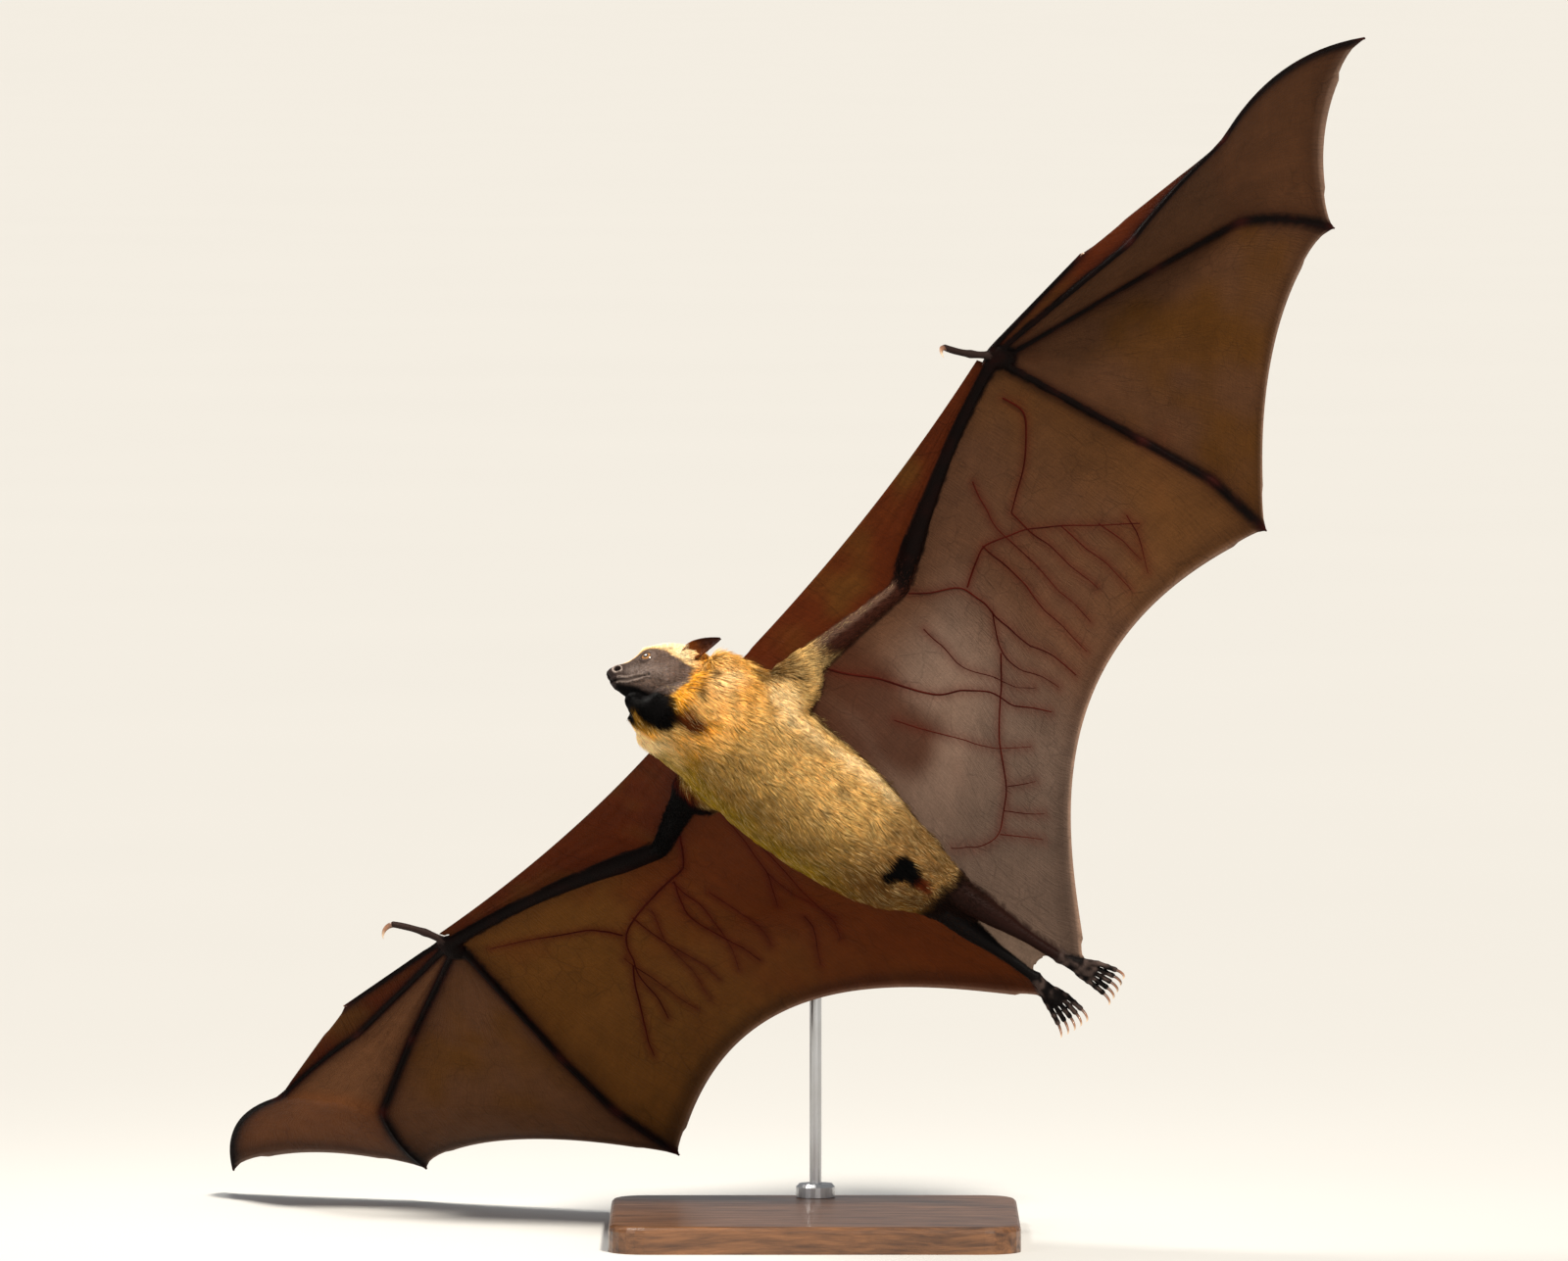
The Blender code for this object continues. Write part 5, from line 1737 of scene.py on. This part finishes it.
def wood_material():
    s = Surface("walnut", IOR=1.5, Coat_Weight=0.25, Coat_Roughness=0.2)
    place = s.place()
    grain = s.noise(s.stretched(s.bent(place, 9.0, 0.02), (14, 190, 190)), 1.0, 6, 0.62)
    pores = s.noise(s.stretched(place, (90, 1900, 1900)), 1.0, 2, 0.5)
    dark = (*linear(58, 34, 20), 1)
    light = (*linear(132, 88, 54), 1)
    colour = s.mixed(s.ranged(grain, 0.32, 0.68), dark, light)
    colour = s.scaled(colour, s.spread(pores, 0.72, 1.1))
    s.shade(Base_Color=colour, Roughness=s.spread(grain, 0.42, 0.3))
    s.bumps((pores, 0.0003, 0.3), (grain, 0.0004, 0.2))
    return s.material


def steel_material():
    s = Surface("satin_steel", Metallic=1.0, IOR=2.5)
    place = s.place()
    brushed = s.noise(s.stretched(place, (2600, 2600, 60)), 1.0, 3, 0.6)
    marks = s.noise(place, 40, 4, 0.6)
    shade = s.ranged(s.math("ADD", brushed, marks), *TWO_NOISE_RANGE, 0.5, 0.66)
    colour = s.scaled(s.mixed(marks, (1, 0.99, 0.97, 1), (0.93, 0.95, 1, 1)), shade)
    s.shade(Base_Color=colour, Roughness=s.spread(brushed, 0.26, 0.4))
    s.bumps((brushed, 0.0001, 0.25))
    return s.material


def floor_material():
    s = Surface("floor", IOR=1.3, Specular_IOR_Level=0.1)
    grain = s.noise(s.place(), 1.2, 3, 0.5)
    colour = s.mixed(grain, (0.62, 0.616, 0.607, 1), (0.63, 0.626, 0.617, 1))
    s.shade(Base_Color=colour, Roughness=s.spread(grain, 0.85, 0.95))
    return s.material


# ---------------------------------------------------------------- the skin


def weave_of(points, facts):
    """Millimetres across and along the sheets, and plain places elsewhere."""
    kind, side, across, along = facts[:, KIND:PIECE].T
    weave = points.copy()
    for (sheet_side, sheet_kind), grid in SHEETS.items():
        here = (kind == sheet_kind) & (side == sheet_side) & (facts[:, REGION] == MEMBRANE)
        middle = grid.shape[1] // 2
        wide = np.linalg.norm(grid[-1, -1] - grid[-1, 0])
        tall = np.linalg.norm(grid[-1, middle] - grid[0, middle])
        own_layer = 31.0 * sheet_kind + 400 * (side > 0)
        rows = np.stack([across * wide, along * tall, own_layer], -1)
        weave[here] = rows[here]
    return weave


mesh, facts, edges = make_skin_mesh()
places = Places(points_of(mesh), normals_of(mesh))
bones = [wing.fingers[name] for wing in WINGS.values() for name in FINGERS]
bones += [wing.arm for wing in WINGS.values()]
bone_points = np.concatenate([along_path(path, np.linspace(0, 1, 160)) for path in bones])
_, bone_away = nearest(bone_points, places.points)
veins = list(vein_paths())
_, vein_away = nearest(np.concatenate([path for path, _ in veins]), places.points)
everywhere = np.ones(len(facts))
skin_tint = skin_colour(places, facts, bone_away, vein_away)
colour_attribute(mesh, "Tint", averaged(skin_tint, edges, everywhere, 1, 0.35))
vector_attribute(mesh, "Weave", weave_of(places.points, facts))
on_membrane = (facts[:, REGION] == MEMBRANE).astype(float)
float_attribute(mesh, "Membrane", averaged(on_membrane, edges, everywhere, 1))
wet_nose = (facts[:, REGION] == HEAD_SKIN) * smoothstep(5, 2, places.back)
float_attribute(mesh, "Wet", wet_nose + (facts[:, REGION] == LID) * 0.8)
smooth_shaded(mesh)
skin = new_object("skin", mesh, skin_material())

# ---------------------------------------------------------------- the coat

rng = np.random.default_rng(7)


def by_side(facts, ways):
    """For each point, the way that belongs to its own side."""
    return np.where((facts[:, SIDE] > 0)[:, None], ways["left"], ways["right"])


# The coat of each region. The functions below return tufts per square millimetre, then their
# length, width and lift in degrees, and then the way they lie.


def body_coat(at, facts):
    throat = smoothstep(15, 8, line_distance(at.body, THROAT))
    arm = smoothstep(3, 26, at.out)
    tail_end = smoothstep(-118, -146, at.forward)
    bare_arm = smoothstep(20, 44, at.out) * (at.left > at.aside) * smoothstep(-100, -80, at.forward)
    density = 1.6 + 0.4 * throat - 0.1 * arm - 0.9 * bare_arm
    length = np.maximum(11.0 - 4.5 * throat - 6.5 * arm - 6.0 * tail_end, 2.6)
    width = 0.54 - 0.2 * arm - 0.1 * throat - 0.2 * tail_end
    lift = 24 - 6 * arm - 6 * throat + 2 * smoothstep(50, 66, at.forward) * (1 - throat)
    under_chin = smoothstep(-0.1, 0.5, at.normals @ SPINE[0]) * smoothstep(66, 72, at.forward)
    length = length * (1 - 0.5 * under_chin)
    lift = lift * (1 - 0.75 * under_chin)
    spread = np.clip((at.left - at.aside) / np.maximum(at.half, 10), -1, 1) * smoothstep(60, 20, at.forward)
    flow = -SPINE[0] + (spread * 0.28)[:, None] * SPINE[1]
    for wing in WINGS.values():
        this = np.sign(at.left - at.aside) == wing.side
        outwards = unit(wing.elbow - wing.shoulder) * 1.6
        flow[this] += (outwards + SPINE[0] * 0.5) * arm[this, None]
    for side_name, (hip, knee, _, _) in LEG_JOINTS.items():
        this = (np.sign(at.left) == SIDES[side_name]) & (at.forward < -120)
        flow[this] = blend(flow[this], unit(knee - hip), 0.7)
    return (density, length, width, lift), flow


def head_coat(at, facts):
    eye_away = distance_to(EYE_CENTRES, at.points)
    crown = smoothstep(-1, 2, at.above_mask) * smoothstep(7, 14, at.back)
    behind = smoothstep(45, 53, at.back)
    haired = smoothstep(2.0, 5.0, at.back) * smoothstep(EYE_RADIUS + 1.0, EYE_RADIUS + 2.4, eye_away)
    haired = haired * smoothstep(0.7, 1.7, line_distance(at.mirrored, LIP_LINE))
    density = haired * (4.2 - 2.4 * np.maximum(behind, crown * 0.6))
    jowl = 1.6 * smoothstep(-6, -16, at.head_up) * smoothstep(8, 26, at.back)
    by_ear = np.linalg.norm(at.mirrored - EAR_ROOT - (2, 2, 4), axis=1)
    length = 1.0 + 1.7 * smoothstep(4, 30, at.back) + jowl + 6.5 * behind + 2.2 * crown
    length = length * (1 - 0.62 * smoothstep(17, 9, by_ear))
    width = 0.27 + 0.1 * smoothstep(10, 40, at.back) + 0.3 * behind
    lift = 15 + 10 * behind + 8 * crown
    flow = -HEAD[0] - HEAD[2] * 0.35 * smoothstep(-2, -14, at.head_up)[:, None]
    return (density, length, width, lift), flow


def ear_coat(at, facts):
    along = facts[:, ALONG]
    flow = by_side(facts, {name: ear_axis(name) for name in SIDES})
    return (2.2 * smoothstep(0.75, 0.3, along), 1.4 + 2.2 * smoothstep(0.3, 0.0, along), 0.28, 22), flow


def forearm_coat(at, facts):
    elbow_away = distance_to([wing.elbow for wing in WINGS.values()], at.points)
    flow = by_side(facts, {name: unit(wing.wrist - wing.elbow) for name, wing in WINGS.items()})
    return (0.8 * smoothstep(26, 6, elbow_away), 2.6, 0.24, 10), flow


def sheet_coat(at, facts):
    _, arm_away = nearest(np.concatenate([wing.upper for wing in WINGS.values()]), at.points)
    close = np.maximum(smoothstep(7, -1, at.out), 0.5 * smoothstep(14, 8, arm_away))
    close = close * smoothstep(-150, -138, at.forward)
    close = close * np.isin(facts[:, KIND], (SHOULDER_SHEET, SIDE_SHEET))
    close = close * smoothstep(-0.1, 0.2, at.normals @ SPINE[2])
    flow = -SPINE[0] + facts[:, SIDE, None] * SPINE[1] * 0.6
    return (1.1 * close, 2.2 + 4.5 * close, 0.3, 10), flow


def leg_coat(at, facts):
    flow = by_side(facts, {name: unit(ankle - knee) for name, (_, knee, ankle, _) in LEG_JOINTS.items()})
    return (1.1 * smoothstep(-200, -150, at.forward), 2.6, 0.34, 16), flow


COATS = {
    BODY: body_coat,
    HEAD_SKIN: head_coat,
    EAR: ear_coat,
    ARM: forearm_coat,
    MEMBRANE: sheet_coat,
    LEG: leg_coat,
}


def coat_plan(at, facts):
    """The coat at each point of the skin: density, then length, width and lift, then lie."""
    plan = np.zeros((len(facts), 4))
    flow = np.tile(-SPINE[0], (len(facts), 1))
    for region, coat_of in COATS.items():
        here = facts[:, REGION] == region
        columns, lie = coat_of(at, facts)
        plan[here] = np.stack(np.broadcast_arrays(*columns), -1)[here]
        flow[here] = lie[here]
    return plan[:, 0], plan[:, 1:], flow


def scattered(mesh, density):
    """Random places on the skin: the corners of their triangles, and each corner's share."""
    triangles = triangles_of(mesh)
    first, second, third = points_of(mesh)[triangles].transpose(1, 0, 2)
    area = np.linalg.norm(np.cross(second - first, third - first), axis=1) / 2
    expected = density[triangles].mean(1) * area
    count = np.floor(expected + rng.random(len(expected))).astype(int)
    which = np.repeat(np.arange(len(triangles)), count)
    a, b = rng.random((2, len(which)))
    over = a + b > 1
    a = np.where(over, 1 - a, a)
    b = np.where(over, 1 - b, b)
    return triangles[which], np.stack([1 - a - b, a, b], -1)


def turned(vectors, axes, angles):
    """Vectors turned about the axes at right angles to them."""
    return vectors * np.cos(angles)[:, None] + np.cross(axes, vectors) * np.sin(angles)[:, None]


# Numbers that turn the three numbers of a cell into one.
CELL_STEPS = np.array((1, 4099, 16785407))


def cell_means(points, values, size):
    """For each point, the mean of the values that share its cell of this size."""
    cells = np.floor(points / size + 0.35 * noise(points, size * 2, 5)[:, None]).astype(np.int64)
    _, index = np.unique(cells @ CELL_STEPS, return_inverse=True)
    count = np.bincount(index)
    return np.stack([np.bincount(index, column) / count for column in values.T], -1)[index]


# A tuft is a prism of three sides with a pyramid on it: two rings of three corners, then its tip.
# Below are the width of each ring, a ring's corners, the faces, and each corner's place on the
# unwrap and share of the tint, which darkens the roots and lightens the tips as painted shade and light in
# the coat.
TUFT_SCALES = (1.0, 0.8)
TUFT_SECTION = ((-0.5, 0), (0.5, 0), (0, 0.42))
TUFT_SIDES = ((0, 1, 4), (0, 4, 3), (1, 2, 5), (1, 5, 4), (2, 0, 3), (2, 3, 5))
TUFT_ENDS = ((3, 4, 6), (4, 5, 6), (5, 3, 6), (0, 2, 1))
TUFT_FACES = np.array(TUFT_SIDES + TUFT_ENDS)
TUFT_UV = np.array([(0, 0), (1, 0), (0.5, 0), (0.1, 0.5), (0.9, 0.5), (0.5, 0.5), (0.5, 1)])
TUFT_SHADE = np.array((0.5, 0.5, 0.5, 1.05, 1.05, 1.05, 1.42))
# Tufts lean together in clumps of this size.
CLUMP = 3.4
# The side of the square that each tuft takes up on the unwrap.
PATCH = 0.003
TUFTS_A_PIECE = 19400


class Tufts:
    """Every tuft of the coat: where it grows, how it lies and what colour it is."""

    def __init__(self, corners, shares, plan, flow):
        def at(rows):
            return (rows[corners] * shares[:, :, None]).sum(1)

        self.root = at(places.points)
        self.normal = units(at(places.normals))
        self.places = Places(self.root, self.normal)
        self.facts = facts[corners[:, 0]]
        self.count = len(self.root)
        length, width, lift = at(plan).T
        self.lay(length, lift, at(flow))
        self.width = width * rng.uniform(0.7, 1.2, self.count)
        self.colour = self.tinted()

    def lay(self, length, lift, flow):
        """Sets the line of each tuft, through its start, middle and tip."""
        flow = units(flow - (flow * self.normal).sum(1)[:, None] * self.normal)
        stray = 0.34 * noise(self.root, 13, 1) + 0.3 * noise(self.root, 4.5, 2)
        stray = stray + rng.normal(0, 0.13, self.count)
        flow = turned(flow, self.normal, stray)
        length = length * rng.uniform(0.72, 1.2, self.count) * (1 + 0.16 * noise(self.root, 9, 4))
        lift = np.radians(lift * rng.uniform(0.7, 1.25, self.count) * (1 + 0.3 * noise(self.root, 7, 6)))
        reach = flow * np.cos(lift)[:, None] + self.normal * np.sin(lift)[:, None]
        rest = flow + self.normal * np.sin(lift * 0.25)[:, None]
        half_length = (length * 0.5)[:, None]
        start = self.root - self.normal * np.minimum(0.3, length * 0.08)[:, None]
        middle = start + reach * half_length
        tip = middle + units(rest) * half_length
        tip = blend(tip, cell_means(self.root, tip, CLUMP), 0.38)
        middle = blend(middle, cell_means(self.root, middle, CLUMP), 0.12)
        self.line = np.stack([start, middle, tip], 1)
        self.across = units(np.cross(self.normal, flow))

    def tinted(self):
        """The colour of each tuft: the markings, with some brighter, warmer or paler by chance."""
        region, along = self.facts[:, REGION], self.facts[:, ALONG]
        fur = fur_colour(self.places)
        ear_hair = blend(EAR_GLOW, EAR_DARK * 1.3, smoothstep(0.15, 0.5, along))
        ear_hair = blend(ear_hair, fur, smoothstep(0.14, 0.04, along))
        colour = np.where((region == EAR)[:, None], ear_hair, fur)
        on_wing = np.isin(region, (MEMBRANE, ARM)) & (self.facts[:, SIDE] > 0)
        colour[on_wing] = blend(colour[on_wing], ARM_RED, 0.8)
        bright = rng.normal(1, 0.19, self.count) * (1 + 0.2 * noise(self.root, 5, 9))
        bright = bright * (1 + 0.14 * noise(self.root, 2.2, 10))
        warm = 1 + np.outer(rng.normal(0, 0.06, self.count), (1, 0, -1))
        pale = (rng.random(self.count) < 0.16) * (region == BODY) * (colour.max(1) > 0.12) * 0.35
        return np.maximum(blend(colour * bright[:, None] * warm, PALE_GOLD * 0.8, pale), 0.002)

    def mesh(self, name, which, unwrapped):
        """The tufts with these numbers as one mesh, with their tint and unwrap."""
        line, across, normal = self.line[which], self.across[which], self.normal[which]
        rings = []
        for step, scale in enumerate(TUFT_SCALES):
            for sideways, height in TUFT_SECTION:
                offset = across * sideways + normal * height
                rings.append(line[:, step] + offset * (self.width[which] * scale)[:, None])
        vertices = np.stack([*rings, line[:, 2]], 1)
        faces = TUFT_FACES[None] + len(TUFT_UV) * np.arange(len(vertices))[:, None, None]
        corners = faces.ravel()
        mesh = filled_mesh(name, vertices.reshape(-1, 3), corners, np.arange(0, len(corners), 3))
        smooth_shaded(mesh)
        tint = self.colour[which][:, None] * TUFT_SHADE[None, :, None]
        colour_attribute(mesh, "Tint", tint.reshape(-1, 3))
        patch = unwrapped[:, None] + (TUFT_UV[None] - 0.5) * PATCH
        layer = mesh.uv_layers.new(name="OFBake")
        layer.data.foreach_set("uv", patch.reshape(-1, 2)[corners].astype(np.float32).ravel())
        return mesh


def unwrap(roots, groups):
    """Places on an unwrap of the skin: round and along the body or head, or laid flat over the wings."""
    place = np.where((groups == "head")[:, None], head_coordinates(roots), body_coordinates(roots))
    along, left, up = place.T
    _, aside = trunk_at(along)
    left = left - np.where(groups == "head", 0, aside)
    round_it = (np.arctan2(up, left) + pi) / (2 * pi)
    flat = (np.arctan2(up, left) > 0) * 0.5 + 0.5 * (left + 500) / 1000
    first = np.where(groups == "limb", flat, round_it)
    result = np.stack([first, along], -1)
    low, high = result.min(0), result.max(0)
    return 0.01 + 0.98 * (result - low) / np.maximum(high - low, 1e-6)


density, plan, flow = coat_plan(places, facts)
corners, shares = scattered(mesh, density)
tufts = Tufts(corners, shares, plan, flow)
tuft_region = tufts.facts[:, REGION]
near_face = (tuft_region == HEAD_SKIN) & (tufts.places.back < FACE_BACK)
on_limb = np.isin(tuft_region, (ARM, MEMBRANE, LEG)) | ((tuft_region == BODY) & (tufts.places.out > 8))
groups = np.where(on_limb, "limb", np.where(np.isin(tuft_region, (HEAD_SKIN, EAR)), "head", "body"))
coat = coat_material()
coat_pieces = []
for group, chosen in (
    ("face", near_face),
    ("head", (groups == "head") & ~near_face),
    ("limbs", groups == "limb"),
    ("body", groups == "body"),
):
    which = np.flatnonzero(chosen)
    which = which[np.argsort(-tufts.places.forward[which], kind="stable")]
    parts = -(-len(which) // TUFTS_A_PIECE)
    for number, share in enumerate(np.array_split(which, parts), 1):
        name = f"coat_{group}" if parts == 1 else f"coat_{group}_{number}"
        unwrapped = unwrap(tufts.root[share], groups[share])
        coat_pieces.append(new_object(name, tufts.mesh(name, share, unwrapped), coat))

# ---------------------------------------------------------------- eyes, claws and veins

PUPIL = radians(15)
IRIS = radians(37)
EYE_POLE_GAP = 0.02
PUPIL_BLACK = linear(20, 12, 9)
IRIS_BROWN = linear(104, 66, 34)
IRIS_AMBER = linear(168, 122, 72)
IRIS_EDGE = linear(22, 14, 11)
EYE_WHITE = linear(120, 104, 92)
# A claw from its root to its tip.
CLAW_COLOURS = (linear(84, 56, 44), linear(140, 98, 72), linear(214, 188, 158))
VEIN_DARK = linear(44, 6, 2)
VEIN_RED = linear(60, 14, 6)


def make_eye(side_name):
    look, along, up = eye_axes(side_name)
    rows, count = 72, 96
    polar = np.linspace(EYE_POLE_GAP, pi - EYE_POLE_GAP, rows)
    angle = turns(count)
    radius = EYE_RADIUS + 0.3 * bell(polar, radians(27))
    spoke = np.outer(np.cos(angle), along) + np.outer(np.sin(angle), up)
    grid = np.cos(polar)[:, None, None] * look + np.sin(polar)[:, None, None] * spoke
    shape = closed_loft(eye_centre(side_name) + grid * radius[:, None, None])
    name = f"eyeball_{side_name}"
    mesh = new_mesh(name, *shape)
    smooth_shaded(mesh)
    way = np.concatenate([np.repeat(polar, count), [0, pi]])
    turn = np.concatenate([np.tile(angle, rows), [0, 0]])
    colour = blend(PUPIL_BLACK, IRIS_BROWN, smoothstep(PUPIL, PUPIL + 0.06, way))
    colour = blend(colour, IRIS_AMBER, bell(way - 0.42, 0.1) * 0.6)
    colour = blend(colour, IRIS_EDGE, smoothstep(IRIS - 0.08, IRIS + 0.03, way))
    colour = blend(colour, EYE_WHITE, smoothstep(IRIS + 0.1, IRIS + 0.35, way) * 0.7)
    colour_attribute(mesh, "Tint", colour)
    vector_attribute(mesh, "Iris", np.stack([np.cos(turn), way * 4, np.sin(turn)], -1))
    return new_object(name, mesh, eye)


def make_claws():
    mesh = new_mesh("claws", *joined([shape for shape, _ in claw_shapes]))
    smooth_shaded(mesh)
    share = np.concatenate([t for _, t in claw_shapes])
    root, middle, tip = CLAW_COLOURS
    colour = blend(root, middle, smoothstep(0.1, 0.6, share))
    colour = blend(colour, tip, smoothstep(0.55, 0.95, share))
    colour_attribute(mesh, "Tint", colour)
    vector_attribute(mesh, "Weave", np.stack([share * 0, share, share * 0], -1))
    return new_object("claws", mesh, claw_material())


def make_veins():
    shapes = [closed_loft(tube_grid(path, radius, 6, 0.75, SPINE[1])) for path, radius in veins]
    mesh = new_mesh("wing_veins", *joined(shapes))
    smooth_shaded(mesh)
    red = smoothstep(-0.5, 0.5, noise(points_of(mesh), 20, 4))
    colour_attribute(mesh, "Tint", blend(VEIN_DARK, VEIN_RED, red))
    return new_object("wing_veins", mesh, vein_material())


eye = eye_material()
eyeballs = {name: make_eye(name) for name in SIDES}
claws = make_claws()
wing_veins = make_veins()

# ---------------------------------------------------------------- what rides on the frame

flesh_nodes = [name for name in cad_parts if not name.startswith(("eye_", "stand_"))]
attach(skin, "root")
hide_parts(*flesh_nodes)
for name, eyeball in eyeballs.items():
    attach(eyeball, "root")
    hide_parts(f"eye_{name}")
for piece in coat_pieces:
    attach(piece, "root")
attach(claws, "root")
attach(wing_veins, "root")

stand_looks = {"wood": wood_material(), "steel": steel_material()}
for name, look in (("stand_base", "wood"), ("stand_rod", "steel"), ("stand_collar", "steel")):
    for material_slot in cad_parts[name].material_slots:
        material_slot.material = stand_looks[look]

# ---------------------------------------------------------------- floor, light and camera

# In metres from here on. The lamps all point at the middle of the model.
FLOOR_REACH = 150
CENTRE = (-0.02, -0.085, 0.406)
# Where a small lamp is mirrored in the middle of the near eye.
GLINT_PLACE = (-0.341, 0.069, 0.914)

floor_mesh = bpy.data.meshes.new("floor")
floor_corners = [(x * FLOOR_REACH, y * FLOOR_REACH, 0) for x, y in ((-1, -1), (1, -1), (1, 1), (-1, 1))]
floor_mesh.from_pydata(floor_corners, [], [(0, 1, 2, 3)])
floor = new_object("floor", floor_mesh, floor_material())


def add_light(name, kind, position, energy, colour, **settings):
    data = bpy.data.lights.new(name, kind)
    data.energy = energy
    data.color = colour
    for key, value in settings.items():
        setattr(data, key, value)
    light = bpy.data.objects.new(name, data)
    light.location = position
    light.rotation_euler = (Vector(CENTRE) - Vector(position)).to_track_quat("-Z", "Y").to_euler()
    bpy.context.scene.collection.objects.link(light)


add_light("key", "SUN", (0.7, -1.5, 2.4), 4.7, (1, 0.93, 0.81), angle=radians(8))
add_light("fill", "AREA", (-1.5, -1.9, 1.0), 7, (1, 0.98, 0.95), size=0.7)
add_light("low", "AREA", (0.6, -2.2, 0.25), 5, (1, 0.97, 0.93), size=1.5)
add_light("glint", "AREA", GLINT_PLACE, 4.5, (1, 0.97, 0.9), size=0.2)

world = bpy.data.worlds.new("studio")
world.use_nodes = True
background = world.node_tree.nodes["Background"]
background.inputs["Color"].default_value = (0.92, 0.93, 0.95, 1)
background.inputs["Strength"].default_value = 0.33
bpy.context.scene.world = world
bpy.context.scene.view_settings.view_transform = "Standard"

CAMERA_AWAY = 10
CAMERA_DIP = radians(3)
# The width of the picture at the model, and of the camera's sensor in millimetres.
VIEW_WIDTH = 1.024
SENSOR_WIDTH = 36
camera_data = bpy.data.cameras.new("camera")
camera_data.lens = SENSOR_WIDTH * CAMERA_AWAY / VIEW_WIDTH
camera_data.sensor_width = SENSOR_WIDTH
camera_data.clip_end = 500
camera = bpy.data.objects.new("camera", camera_data)
camera.location = Vector(CENTRE) - Vector((0, cos(CAMERA_DIP), -sin(CAMERA_DIP))) * CAMERA_AWAY
camera.rotation_euler = (pi / 2 - CAMERA_DIP, 0, 0)
bpy.context.scene.collection.objects.link(camera)
bpy.context.scene.camera = camera
